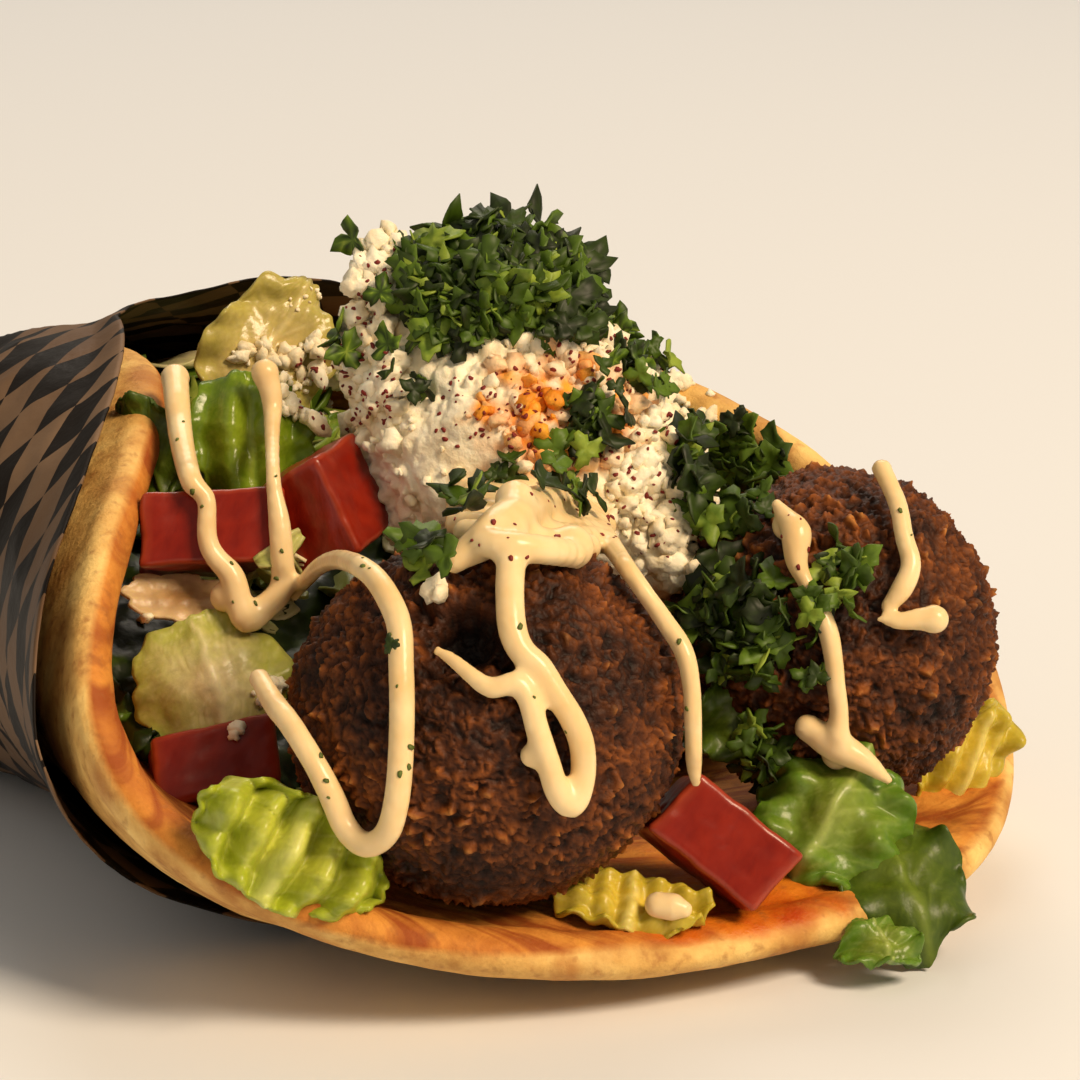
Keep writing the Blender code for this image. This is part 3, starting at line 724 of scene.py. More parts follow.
def leaf_sheet(centre, size, turn, seed, cup=0.0, curl=0.0, ruffle=0.0, waves=2.0, point=0.45,
               ribs=0.0, rib_count=3.0, rag=0.05, veins=3.6, slant=0.8, relief=0.3):
    bm = bmesh.new()
    bmesh.ops.create_grid(bm, x_segments=LEAF_GRID, y_segments=LEAF_GRID, size=1.0)
    uv = bm.loops.layers.uv.new("leaf")
    for face in bm.faces:
        for loop in face.loops:
            loop[uv].uv = ((loop.vert.co.x + 1.0) / 2.0, (loop.vert.co.y + 1.0) / 2.0)
    vein = bm.verts.layers.float.new("vein")
    rim = bm.verts.layers.float.new("rim")
    for vert in bm.verts:
        u, v = vert.co.x, vert.co.y
        edge = max(abs(u), abs(v))
        corner = math.hypot(u, v) / max(edge, 0.001)
        u, v = u / mix(1.0, corner, 0.72), v / mix(1.0, corner, 0.72)
        narrow = 1.0 - (1.0 - point) * abs(v) ** 2.5
        tatter = 1.0 + rag * noise.noise(Vector((2.4 * u, 2.4 * v, seed))) * 3.6 * edge ** 3
        tatter += rag * noise.noise(Vector((6.0 * u, 6.0 * v, seed))) * 1.2 * edge ** 5
        x = u * narrow * size[0] / 2.0 * tatter
        y = v * size[1] / 2.0 * tatter
        wave = math.sin(waves * math.pi * v + 2.0 * u + seed)
        second = math.sin(2.3 * waves * math.pi * (v - 0.4 * u) + 2.0 * seed)
        z = cup * u * u + curl * v * v + ruffle * edge ** 2 * (wave + 0.45 * second * edge)
        z += ribs * math.cos(rib_count * math.pi * u) * (1.0 - 0.5 * v * v)
        z += 0.35 * noise.noise(Vector((2.5 * u, 2.5 * v, 3.0 * seed))) * (0.5 + ruffle)
        z += 0.30 * noise.noise(Vector((x, y, 5.0 * seed)) / 3.6)
        z += 0.16 * noise.noise(Vector((x, y, 5.0 * seed)) / 1.5)
        strength = vein_strength(u, v, veins, slant, seed) * (1.0 if veins else 0.0)
        vert[vein] = strength
        vert[rim] = edge
        z += relief * strength
        vert.co = centre + PLACE + turn @ Vector((x, y, z))
        vert.co.z = max(vert.co.z, TABLE_CLEAR)
    return bm


# %% [markdown]
# Fresh salad leaf: thin and waxy, so light comes through it and glints on it. The blade runs
# from its heart colour to its edge colour, and its veins are pale and juicy.

# %% Finish of the leaves
def salad_leaf(name, heart, edge, rib, roughness=0.34, glow=0.25, mottle=0.25):
    material, tree, shader = start_material(name, roughness, IOR=1.42)
    shader.inputs["Subsurface Weight"].default_value = glow
    shader.inputs["Subsurface Radius"].default_value = (0.002, 0.003, 0.0008)
    place = add(tree, "TexCoord").outputs["Object"]
    rim = add(tree, "Attribute", attribute_name="rim").outputs["Fac"]
    vein = add(tree, "Attribute", attribute_name="vein").outputs["Fac"]
    uneven = add(tree, "TexNoise", {"Vector": place, "Scale": 1.0 / (4.0 * MM), "Detail": 4.0})
    drift = add(tree, "Math", {0: uneven.outputs["Fac"], 1: 0.9, 2: -0.45}, operation="MULTIPLY_ADD")
    where = add(tree, "Math", {0: rim, 1: drift.outputs["Value"]}, operation="ADD", use_clamp=True)
    blade = add(tree, "ValToRGB", {"Fac": where.outputs["Value"]}, stops=[(0.15, heart), (0.85, edge)])
    amount = add(tree, "Math", {0: vein, 1: 0.6}, operation="MULTIPLY")
    veined = add(tree, "Mix", {0: amount.outputs["Value"], 6: blade.outputs["Color"], 7: linear(rib)},
                 data_type="RGBA")
    fine = add(tree, "TexNoise", {"Vector": place, "Scale": 1.0 / (1.1 * MM), "Detail": 3.0})
    dull = add(tree, "MapRange", {"Value": fine.outputs["Fac"], "To Min": 1.0 - mottle, "To Max": 1.0 + mottle})
    shaded = add(tree, "Mix", {0: 1.0, 6: veined.outputs[2], 7: dull.outputs["Result"]},
                 data_type="RGBA", blend_type="MULTIPLY")
    tree.links.new(shaded.outputs[2], shader.inputs["Base Color"])
    bump = add(tree, "Bump", {"Height": fine.outputs["Fac"], "Strength": 0.3, "Distance": 0.3 * MM})
    tree.links.new(bump.outputs["Normal"], shader.inputs["Normal"])
    return material


glossy = salad_leaf("glossy green leaf", "#7d9120", "#5f7a14", "#9aac3c", roughness=0.24)
dark = salad_leaf("dark salad leaf", "#52640f", "#3a4f0a", "#74862a", roughness=0.42)
green = salad_leaf("green lettuce", "#78892c", "#577a1b", "#acb868")
# painted light, in part: the lettuce on the lip is made brighter than its own yellow-green so that it shows lit
bright = salad_leaf("bright lettuce", "#bfc347", "#a0ac2a", "#dadc8a")
fading = salad_leaf("lettuce fading to its rib", "#d8c996", "#a8aa4c", "#e6daac", glow=0.35)
pale = salad_leaf("pale lettuce heart", "#c4b071", "#b0a352", "#dccb96", roughness=0.25, glow=0.35)
golden = salad_leaf("yellow lettuce", "#cdb43c", "#b8a52c", "#e6d885", glow=0.35)
onion = salad_leaf("soft onion", "#a67f4e", "#cdb083", "#cfae7c", glow=0.4)
lip_way = (HEART - RIGHT * 27.8 - UP * 34.8 - EYE).normalized()
ON_LIP = EYE + lip_way * (rest_depth(surface_of(bread), -28.4, -37.5, 4.5) - 2.8) - PLACE
print("the lettuce on the lip lies at", ON_LIP)
LEAVES = {
    "leaf_glossy": ((-23.3, -36.0, 48.0), (15.0, 16.0), (-10, 10, 0), glossy, "glossy_leaf",
                    dict(cup=-3.5, curl=-2.5, ruffle=0.5, point=0.8, ribs=-0.9, rib_count=3.0, relief=0.2)),
    "leaf_dark_left": ((-30.5, -25.0, 45.5), (10.0, 14.0), (0, -25, 20), dark, "dark_leaf",
                       dict(cup=-1.5, ruffle=0.9)),
    "leaf_back": ((-1.5, -11.0, 51.5), (17.0, 22.0), (-12, 10, -32), pale, "pale_leaf",
                  dict(cup=2.0, curl=-1.5, ruffle=1.4, relief=0.5)),
    "onion_slice": ((-38.5, -42.0, 31.6), (13.0, 6.5), (-35, 8, -4), onion, "onion",
                    dict(cup=1.0, point=0.7, relief=0.2, veins=0.0)),
    "lettuce_pale": ((-40.4, -50.6, 23.4), (17.5, 16.5), (-5, 12, 18), fading, "pale_leaf",
                     dict(cup=-3.5, curl=-2.0, ruffle=0.8, waves=1.6, point=0.85, slant=3.0, veins=2.6,
                          ribs=0.22, rib_count=4.0)),
    "lettuce_left": (ON_LIP, (22.0, 12.6), (-10, 12, -30), bright, "bright_leaf",
                     dict(cup=-1.0, curl=-1.8, ruffle=1.5, waves=2.0, point=0.65, ribs=1.9, rib_count=5.5,
                          veins=2.5)),
    "lettuce_front": ((-21.0, -98.8, 5.4), (17.5, 8.5), (-50, 0, -10), golden, "yellow_leaf",
                      dict(cup=0.6, ruffle=1.2, waves=2.2, point=0.75, rag=0.03, ribs=0.5, rib_count=6.0)),
    "leaf_dark_middle": ((5.0, -90.5, 19.5), (13.0, 12.0), (0, 15, 25), dark, "dark_leaf",
                         dict(cup=-1.5, ruffle=1.4)),
    "leaf_green_right": ((7.0, -102.5, 11.0), (18.0, 18.0), (-20, -10, -30), green, "bright_leaf",
                         dict(cup=-4.0, curl=-3.5, ruffle=2.0, waves=2.6, point=0.75, ribs=0.7, rib_count=3.0)),
    "lettuce_yellow": ((39.8, -94.0, 8.2), (13.0, 16.0), (-5, 30, -25), golden, "yellow_leaf",
                       dict(cup=-2.0, curl=-1.5, ruffle=1.8, waves=2.0, point=0.7, ribs=0.6, rib_count=5.0)),
    "leaf_dark_right": ((11.4, -108.4, 4.6), (15.5, 20.0), (-42, 14, 14), dark, "dark_leaf",
                        dict(cup=-2.2, curl=-4.5, ruffle=2.2, waves=1.6, point=0.8)),
    "leaf_bright_low": ((3.2, -113.6, -1.2), (10.0, 7.0), (-35, 10, 6), green, "bright_leaf",
                        dict(cup=-1.4, ruffle=1.3, waves=1.5, point=0.7)),
}
leaves = []
for seed, (node, (centre, size, turn, finish, slot, form)) in enumerate(LEAVES.items()):
    leaf = make_piece("torn_" + node, leaf_sheet(Vector(centre), size, facing(*turn), seed * 1.7, **form),
                      finish, [node])
    leaves.append(thicken(leaf, 0.5))

# %% [markdown]
# ## Many small copies
# Shreds, crumbs, herbs and flecks are each modelled once or a few times, small and simple, and
# then stamped into one joined mesh, because hundreds of objects would be slow and an export
# would lose instances.

# %% Stamping many small copies
def seat(spot, normal, size, spin, tilt=0.0):
    """The matrix that sets a unit shape on a surface, its Z along the surface's normal."""
    turn = normal.to_track_quat("Z", "Y").to_matrix()
    own = Euler((tilt, 0.0, spin)).to_matrix()
    scale = Vector(size) if hasattr(size, "__len__") else Vector((size, size, size))
    return Matrix.LocRotScale(spot, (turn @ own).to_quaternion(), scale)


def stamp(bm, template, matrix):
    """Add one more copy of a small shape to a heap and return its vertices."""
    start = len(bm.verts)
    bm.from_mesh(template)
    bm.verts.ensure_lookup_table()
    fresh = bm.verts[start:]
    bmesh.ops.transform(bm, matrix=matrix, verts=fresh)
    return fresh


def template_mesh(name, bm):
    mesh = bpy.data.meshes.new(name)
    bm.to_mesh(mesh)
    bm.free()
    return mesh


def spread(rng, centre, radii):
    """A random place in an ellipse on the plane that faces the diner."""
    turn, out = rng.uniform(0.0, 2.0 * math.pi), math.sqrt(rng.random())
    return centre[0] + radii[0] * out * math.cos(turn), centre[1] + radii[1] * out * math.sin(turn)


# %% [markdown]
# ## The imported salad
# Under the toppings the fold is packed with shredded leaves that only show in the gaps. The
# solid is copied, remeshed fine, drawn in a little and given leafy relief, and loose shreds
# lie on it. A shred is a small bent grid. How pale each one is gets stored with it.

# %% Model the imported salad
CORE_VOXEL = 1.2         # mm


def fuse(piece, voxel, rounds=0):
    """Melt a piece's shells into one skin and smooth it; the result is baked into the mesh."""
    remesh = piece.modifiers.new("fuse", "REMESH")
    remesh.mode = "VOXEL"
    remesh.voxel_size = voxel * MM
    if rounds:
        even = piece.modifiers.new("even", "SMOOTH")
        even.factor = 0.5
        even.iterations = rounds
    graph = bpy.context.evaluated_depsgraph_get()
    graph.update()
    mesh = bpy.data.meshes.new_from_object(piece.evaluated_get(graph))
    piece.modifiers.clear()
    piece.data = mesh
    mesh.shade_smooth()
    print(piece.name, "fused to", len(mesh.polygons), "faces")
    return piece


def leafy_relief(piece):
    """Push a fused core in and out like packed leaves, and store how pale each point is: paler on the raised
    leaves, with painted shade in the hollows.
    """
    bm = bmesh.new()
    bm.from_mesh(piece.data)
    bmesh.ops.smooth_vert(bm, verts=bm.verts, factor=0.5, use_axis_x=True, use_axis_y=True, use_axis_z=True)
    bm.normal_update()
    tint = bm.verts.layers.float.new("tint")
    moves = {}
    for vert in bm.verts:
        spot = vert.co / MM
        torn = spot + 3.0 * noise.noise_vector(spot / 6.0)
        layer = grains(torn, 7.0)
        crumple = noise.noise(spot / 2.4) + 0.5 * noise.noise(spot / 1.2)
        # painted shade: the lower the relief, the darker the green
        vert[tint] = min(max(0.55 * layer * (0.6 + 0.6 * noise.noise(spot / 11.0)) - 0.1, 0.0), 1.0)
        moves[vert] = vert.normal * (1.7 * layer + 0.5 * crumple - 2.6) * MM
    for vert, move in moves.items():
        vert.co += move
    bm.to_mesh(piece.data)
    bm.free()
    piece.data.shade_smooth()


def shred_template(name, seed):
    """A torn strip of leaf of unit length, bent and ruffled."""
    bm = bmesh.new()
    bmesh.ops.create_grid(bm, x_segments=4, y_segments=7, size=1.0)
    for vert in bm.verts:
        u, v = vert.co.x, vert.co.y
        narrow = 1.0 - 0.45 * v * v * (1.0 + 0.3 * math.sin(seed))
        x = 0.42 * u * narrow + 0.12 * math.sin(2.0 * v + seed)
        z = 0.28 * v * v * math.cos(seed) + 0.10 * math.sin(3.0 * v + 2.0 * u + seed) + 0.14 * u * u
        vert.co = (x, v, z)
    return template_mesh(name, bm)


SHREDS = [shred_template("shred", 1.9 * seed) for seed in range(5)]
SHRED_BEDS = [              # middle (across, up), half size, how many, size, how pale
    ((-30.0, -4.5), (3.5, 4.0), 12, (2.0, 3.4), (0.5, 1.0)),
    ((-34.0, -8.5), (3.0, 2.0), 7, (1.8, 2.8), (0.6, 1.0)),
    ((-27.0, 14.0), (2.0, 2.5), 4, (2.0, 3.0), (0.2, 0.6)),
    ((-42.5, -4.5), (1.5, 1.0), 3, (1.5, 2.2), (0.8, 1.0)),
    ((-29.0, 24.5), (2.6, 1.6), 4, (2.5, 3.5), (0.55, 0.65)),
    ((-24.0, -22.0), (3.0, 8.0), 6, (2.5, 4.0), (0.3, 0.9)),
    ((18.5, -22.0), (2.0, 5.0), 8, (2.5, 4.0), (0.0, 0.9)),
    ((22.0, -14.0), (3.0, 5.0), 8, (2.5, 4.0), (0.0, 0.5)),
    ((22.0, 14.0), (4.0, 4.0), 8, (2.5, 4.0), (0.0, 0.9)),
]


def toss(surface, rng):
    bm = bmesh.new()
    tint = bm.verts.layers.float.new("tint")
    landed = []
    for centre, radii, count, sizes, paleness in SHRED_BEDS:
        for _ in range(count):
            across, up = spread(rng, centre, radii)
            spot, normal = drop(surface, across, up)
            landed.append((spot, normal, rng.uniform(*sizes), rng.uniform(*paleness)))
    for _ in range(150):
        x, y = rng.uniform(-40.0, 40.0), rng.uniform(-34.0, 28.0)
        spot, normal, _, _ = surface.ray_cast(Vector((x, y, 120.0)) + PLACE, Vector((0, 0, -1)))
        landed.append((spot, normal, rng.uniform(3.5, 6.5), rng.random()))
    for spot, normal, size, paleness in landed:
        spin, tilt = rng.uniform(0, 6.28), rng.uniform(-0.4, 0.4)
        if spot is None:
            continue
        for vert in stamp(bm, rng.choice(SHREDS), seat(spot + normal * 0.3, normal, size, spin, tilt)):
            vert[tint] = paleness
    return bm


# %% [markdown]
# Shredded salad: crisp leaf cut across, from dark green tips to cream ribs, moist and a little
# glossy. On the packed core the darkest green is painted shade in the hollows.

# %% Finish of the shredded salad
def shredded_leaf():
    material, tree, shader = start_material("shredded salad leaf", 0.38, IOR=1.4)
    shader.inputs["Subsurface Weight"].default_value = 0.2
    shader.inputs["Subsurface Radius"].default_value = (0.002, 0.003, 0.001)
    tint = add(tree, "Attribute", attribute_name="tint").outputs["Fac"]
    place = add(tree, "TexCoord").outputs["Object"]
    cloud = add(tree, "TexNoise", {"Vector": place, "Scale": 1.0 / (3.0 * MM), "Detail": 4.0})
    drift = add(tree, "Math", {0: cloud.outputs["Fac"], 1: 0.5, 2: -0.25}, operation="MULTIPLY_ADD")
    where = add(tree, "Math", {0: tint, 1: drift.outputs["Value"]}, operation="ADD", use_clamp=True)
    base = add(tree, "ValToRGB", {"Fac": where.outputs["Value"]},
               stops=[(0.0, "#1d2b0a"), (1.0, "#d8caa0"), (0.30, "#56701c"), (0.62, "#a3aa4a")])
    tree.links.new(base.outputs["Color"], shader.inputs["Base Color"])
    bump = add(tree, "Bump", {"Height": cloud.outputs["Fac"], "Strength": 0.4, "Distance": 0.5 * MM})
    tree.links.new(bump.outputs["Normal"], shader.inputs["Normal"])
    return material


core_mesh = bmesh.new()
core_mesh.from_mesh(bpy.data.objects["salad_filling"].data)
bmesh.ops.scale(core_mesh, vec=(1.0 / MM, 1.0 / MM, 1.0 / MM), verts=core_mesh.verts)
salad_finish = shredded_leaf()
core = make_piece("packed_salad", core_mesh, salad_finish, ["salad_filling"], weld=0.01)
fuse(core, CORE_VOXEL)
leafy_relief(core)
shreds = make_piece("salad_shreds", toss(surface_of(core, *dice), random.Random(21)), salad_finish)
thicken(shreds, 0.4)

# %% [markdown]
# ## The cheese
# White brined cheese crumbles into rough lumps of all sizes, from a hazelnut to a breadcrumb,
# over a creamy middle. The creamy middle is one soft mound a little smaller than its solid, and the
# crumbs are stamped onto it from a few rough templates. Crumbs near the chilli oil carry a
# stain, stored with the mesh.

# %% Rough lumps
def crumb_template(name, subdivisions, seed):
    """A rough unit lump with broken faces."""
    bm = bmesh.new()
    bmesh.ops.create_icosphere(bm, subdivisions=subdivisions, radius=1.0)
    for vert in bm.verts:
        way = vert.co.normalized()
        broken = 0.65 * noise.noise(way * 1.1 + Vector((seed, 0, 0)))
        rough = 0.45 * noise.noise(way * 2.4 + Vector((0, seed, 0)))
        vert.co = way * (1.0 + broken + rough)
    return template_mesh(name, bm)


CRUMBS = [crumb_template("crumb", 2, 2.7 * seed) for seed in range(7)]
CURDS = [crumb_template("curd", 3, 3.1 * seed) for seed in range(4)]
CURD_FROM = 1.5          # mm; a lump of this radius or more is stamped from the finer shapes
print("crumbs have", len(CRUMBS[0].polygons), "faces and curds", len(CURDS[0].polygons))

# %% The creamy middle of the mound
PEAK = [(-18.0, 20.5, 3.2), (-20.6, 22.6, 2.4), (-17.6, 24.4, 2.8), (-20.4, 26.4, 2.6), (-18.2, 28.4, 2.6),
        (-20.2, 30.2, 2.2), (-18.6, 32.2, 2.6), (-16.6, 34.2, 1.8), (-21.8, 24.6, 1.5), (-15.8, 22.5, 2.6)]
PEAK_DEPTH = (Vector((2.6, -50.5, 63.0)) + PLACE - HEART).dot(BACK) + 2.0
MOUND_RADII = Vector((22.0, 21.0, 20.0))
MOUND_AT = Vector((3.0, -53.0, 44.5)) + PLACE
MOUND_BULGES = ((Vector((0.25, -0.77, -0.42)), 0.42, 0.55), (Vector((-0.34, 0.45, 0.80)), 0.20, 0.6))
OIL_AT, OIL_SIZE = (2.0, 14.0), (10.5, 9.0)     # where the chilli oil ran, across and up


def oil_amount(across, up):
    apart = math.hypot((across - OIL_AT[0]) / OIL_SIZE[0], (up - OIL_AT[1]) / OIL_SIZE[1])
    return 1.0 - smooth(apart + 0.55 * noise.noise(Vector((across, up, 0.0)) / 2.6), 0.45, 1.05)


def creamy_mound():
    """The mound itself, with the curds that are piled up at its left end."""
    bm = bmesh.new()
    bmesh.ops.create_icosphere(bm, subdivisions=7, radius=1.0)
    oil = bm.verts.layers.float.new("oil")
    for vert in bm.verts:
        way = vert.co.normalized()
        grow = 1.0
        for bulge, height, width in MOUND_BULGES:
            grow += height * math.exp(-(way.angle(bulge) / width) ** 2)
        spot = Vector((way.x * MOUND_RADII.x, way.y * MOUND_RADII.y, way.z * MOUND_RADII.z)) * grow
        across, up = on_plane(MOUND_AT + spot)
        cream = 1.0 - smooth(math.hypot((across + 7.7) / 10.0, (up - 8.5) / 9.0), 0.6, 1.15)
        torn = spot + 1.2 * noise.noise_vector(spot / 2.5)
        lumps = (1.5 - 1.1 * cream) * grains(torn, 6.5) + (1.1 - 1.0 * cream) * grains(torn, 2.6)
        rough = 0.5 * (1.0 - 0.75 * cream) * noise.noise(spot / 1.1) + 1.0 * noise.noise(spot / 8.0)
        vert.co = MOUND_AT + spot + way * (lumps + rough + 1.6 * cream - 3.6)
        vert[oil] = oil_amount(*on_plane(vert.co)) * smooth(noise.noise(spot / 2.0), -0.6, 0.1)
    for number, (across, up, size) in enumerate(PEAK):
        spot = HEART + RIGHT * across + UP * up + BACK * PEAK_DEPTH
        stamp(bm, CURDS[number % len(CURDS)], seat(spot, BACK, size, 2.4 * number))
    return bm


# %% [markdown]
# Brined white cheese: a dense, matt, slightly translucent curd. Milk fat keeps it warm white,
# and chilli oil turns it orange where it ran.

# %% Finish of the cheese
def crumbly_curd():
    material, tree, shader = start_material("brined white cheese", 0.55, IOR=1.4)
    shader.inputs["Subsurface Weight"].default_value = 0.22
    shader.inputs["Subsurface Radius"].default_value = (0.002, 0.0016, 0.0012)
    place = add(tree, "TexCoord").outputs["Object"]
    cloud = add(tree, "TexNoise", {"Vector": place, "Scale": 1.0 / (3.5 * MM), "Detail": 5.0})
    base = add(tree, "ValToRGB", {"Fac": cloud.outputs["Fac"]},
               stops=[(0.30, "#f0dfb8"), (0.62, "#fff6de")])
    oil = add(tree, "Attribute", attribute_name="oil").outputs["Fac"]
    stain = add(tree, "ValToRGB", {"Fac": cloud.outputs["Fac"]},
                stops=[(0.35, "#dc7a10"), (0.70, "#f8b43c")])
    mixed = add(tree, "Mix", {0: oil, 6: base.outputs["Color"], 7: stain.outputs["Color"]},
                data_type="RGBA")
    tree.links.new(mixed.outputs[2], shader.inputs["Base Color"])
    grain = add(tree, "TexNoise", {"Vector": place, "Scale": 1.0 / (0.6 * MM), "Detail": 4.0})
    bump = add(tree, "Bump", {"Height": grain.outputs["Fac"], "Strength": 0.5, "Distance": 0.35 * MM})
    tree.links.new(bump.outputs["Normal"], shader.inputs["Normal"])
    return material


curd = crumbly_curd()
mound = make_piece("creamy_cheese_mound", creamy_mound(), curd, ["cheese_mound"])


# %% Crumbs of cheese
CRUMB_BEDS = [              # middle (across, up), half size, how many, smallest and largest radius
    ((-24.0, 18.0), (7.0, 5.5), 90, (0.4, 1.5)),
    ((-19.0, 27.0), (2.6, 6.5), 60, (0.5, 1.7)),
    ((-18.5, 20.0), (4.0, 4.0), 40, (0.6, 1.8)),
    ((-17.6, 14.0), (3.4, 5.0), 26, (0.5, 1.6)),
    ((-10.0, 10.0), (8.0, 9.0), 24, (0.3, 0.7)),
    ((3.0, 16.0), (10.0, 9.0), 190, (0.35, 1.3)),
    ((13.0, 3.0), (6.0, 6.5), 120, (0.4, 1.7)),
    ((16.0, -1.5), (3.5, 3.5), 10, (1.6, 2.4)),
    ((8.0, 22.0), (7.0, 4.5), 80, (0.4, 1.5)),
    ((15.0, 13.0), (5.0, 7.0), 90, (0.4, 1.4)),
    ((-30.5, -17.0), (2.2, 1.6), 12, (0.4, 1.0)),
    ((-34.3, -21.3), (0.8, 0.8), 3, (0.6, 1.0)),
    ((-44.4, -9.0), (0.6, 0.6), 2, (0.5, 0.9)),
    ((-11.6, -5.8), (1.1, 0.7), 6, (0.4, 1.0)),
    ((-30.5, 20.8), (4.2, 1.2), 26, (0.4, 1.1)),
    ((-26.0, 27.5), (4.0, 1.8), 12, (0.2, 0.4)),
]


def crumble(surface, under, rng):
    bm = bmesh.new()
    oil = bm.verts.layers.float.new("oil")
    for centre, radii, count, sizes in CRUMB_BEDS:
        for _ in range(count):
            across, up = spread(rng, centre, radii)
            spot, normal = drop(surface, across, up)
            size = mix(sizes[0], sizes[1], rng.random() ** 2.0)
            if spot is None:
                continue
            form = [size * rng.uniform(0.65, 1.3) for _ in range(3)]
            place = seat(spot + normal * size * 0.45, normal, form, rng.uniform(0, 6.28), rng.uniform(0, 3))
            stained = oil_amount(across, up) * rng.choice((0.2, 0.8, 1.0, 1.0))
            for vert in stamp(bm, rng.choice(CURDS if size > CURD_FROM else CRUMBS), place):
                vert[oil] = stained
    for _ in range(260):
        turn, rise = rng.uniform(0.0, 2.0 * math.pi), rng.uniform(0.1, 1.2)
        way = Vector((math.cos(turn) * math.cos(rise), math.sin(turn) * math.cos(rise), math.sin(rise)))
        if way.dot(BACK) > 0.35:
            continue
        spot, normal, _, _ = under.ray_cast(MOUND_AT + way * 60.0, -way)
        if spot is None:
            continue
        size = mix(0.6, 1.8, rng.random() ** 2.0)
        stamp(bm, rng.choice(CRUMBS), seat(spot + normal * size * 0.4, normal, size, rng.uniform(0, 6.28)))
    return bm


ground = surface_of(bread, ball_front, ball_right, core, mound, *dice, *leaves)
crumbs = make_piece("cheese_crumbs", crumble(ground, surface_of(mound), random.Random(5)), curd)

# %% [markdown]
# ## The parsley
# Chopped flat parsley: small three-lobed leaves with toothed tips, curled as they wilt. Five
# leaves are cut from a disc, bent differently, and stamped in heaps and singly. How light each
# leaf is gets stored with it: partly the paler underside that some show, partly painted light and shade.

# %% Cut a parsley leaf
def parsley_template(name, seed):
    """A three-lobed leaf of unit size, lying in XY with its stalk towards -Y."""
    bm = bmesh.new()
    bmesh.ops.create_circle(bm, cap_ends=True, cap_tris=True, segments=24, radius=1.0)
    spokes = [edge for edge in bm.edges if not edge.is_boundary]
    bmesh.ops.subdivide_edges(bm, edges=spokes, cuts=1)
    for vert in bm.verts:
        around = math.atan2(vert.co.y, vert.co.x) - math.pi / 2.0
        out = math.hypot(vert.co.x, vert.co.y)
        lobes = 0.68 + 0.24 * math.cos(3.0 * around) + 0.12 * math.cos(9.0 * around + 0.3 * seed)
        lobes += 0.07 * math.sin(5.0 * around + seed)
        x, y = vert.co.x * lobes, vert.co.y * lobes
        crease = 0.12 * abs(math.cos(1.5 * around)) * out
        bend = (0.1 + 0.3 * math.sin(seed)) * y * y + 0.3 * math.cos(seed) * x * x
        ruffle = 0.12 * math.sin(4.0 * around + 2.0 * seed) * out * out
        vert.co = (x, y, crease + bend + ruffle)
    return template_mesh(name, bm)


PARSLEY = [parsley_template("parsley_leaf", 1.3 * seed) for seed in range(6)]
HERB_BEDS = [               # middle (across, up), half size, how many, smallest and largest radius
    ((-4.6, 29.8), (11.0, 6.8), 230, (2.0, 4.2)),
    ((-9.6, 25.5), (4.8, 4.0), 40, (1.8, 3.6)),
    ((3.0, 24.5), (4.5, 2.5), 14, (1.8, 3.2)),
    ((-14.0, 17.8), (1.8, 1.0), 5, (1.2, 2.2)),
    ((12.5, 19.5), (3.0, 4.0), 24, (1.6, 3.0)),
    ((5.8, 15.0), (2.6, 4.0), 20, (1.4, 3.0)),
    ((4.0, 10.5), (2.2, 2.0), 6, (2.2, 3.2)),
    ((21.0, 7.5), (6.0, 7.0), 62, (2.0, 4.0)),
    ((22.0, -9.0), (5.6, 6.2), 54, (2.0, 4.2)),
    ((33.4, -2.0), (2.6, 3.4), 12, (1.8, 3.2)),
    ((31.5, -8.0), (1.6, 4.0), 8, (1.6, 2.8)),
    ((30.8, -15.0), (1.2, 2.4), 5, (1.4, 2.2)),
    ((-12.4, -2.2), (2.4, 2.0), 6, (2.6, 4.0)),
    ((-6.9, 3.7), (2.8, 1.4), 6, (2.2, 3.6)),
    ((-1.0, 7.0), (4.0, 0.9), 7, (1.6, 2.6)),
    ((2.8, 5.6), (3.0, 1.4), 8, (1.8, 3.0)),
    ((25.0, -24.0), (2.5, 4.0), 14, (1.6, 2.8)),
    ((-15.9, -11.8), (0.3, 0.3), 1, (1.2, 1.3)),
    ((-28.5, -17.0), (0.5, 0.5), 2, (0.9, 1.2)),
    ((34.4, 9.2), (0.4, 0.4), 2, (1.8, 2.4)),
]


def strew(surface, rng):
    bm = bmesh.new()
    tint = bm.verts.layers.float.new("tint")
    for centre, radii, count, sizes in HERB_BEDS:
        for _ in range(count):
            across, up = spread(rng, centre, radii)
            spot, normal = drop(surface, across, up)
            size = rng.uniform(*sizes)
            # painted light and shade, in part: most leaves get a dark tint, a few a light one, besides the paler
            # undersides
            tilt, spin, painted_light_and_underside = rng.uniform(-0.6, 0.6), rng.uniform(0, 6.28), rng.random() ** 1.5
            lift = rng.uniform(0.2, 2.8)
            if spot is None:
                continue
            for vert in stamp(bm, rng.choice(PARSLEY), seat(spot + normal * lift, normal, size, spin, tilt)):
                vert[tint] = painted_light_and_underside
    for _ in range(170):
        turn, rise = rng.uniform(0.0, 2.0 * math.pi), rng.uniform(0.55, 1.5)
        way = Vector((math.cos(turn) * math.cos(rise), math.sin(turn) * math.cos(rise), math.sin(rise)))
        spot, normal, _, _ = surface.ray_cast(MOUND_AT + way * 60.0, -way)
        size, spin, tilt = rng.uniform(1.8, 3.2), rng.uniform(0, 6.28), rng.uniform(-0.8, 0.8)
        if spot is None or way.dot(BACK) > 0.6:
            continue
        for vert in stamp(bm, rng.choice(PARSLEY), seat(spot + normal * 0.6, normal, size, spin, tilt)):
            # painted light and shade, in part: a random lightness for each loose leaf
            vert[tint] = rng.random()
    return bm


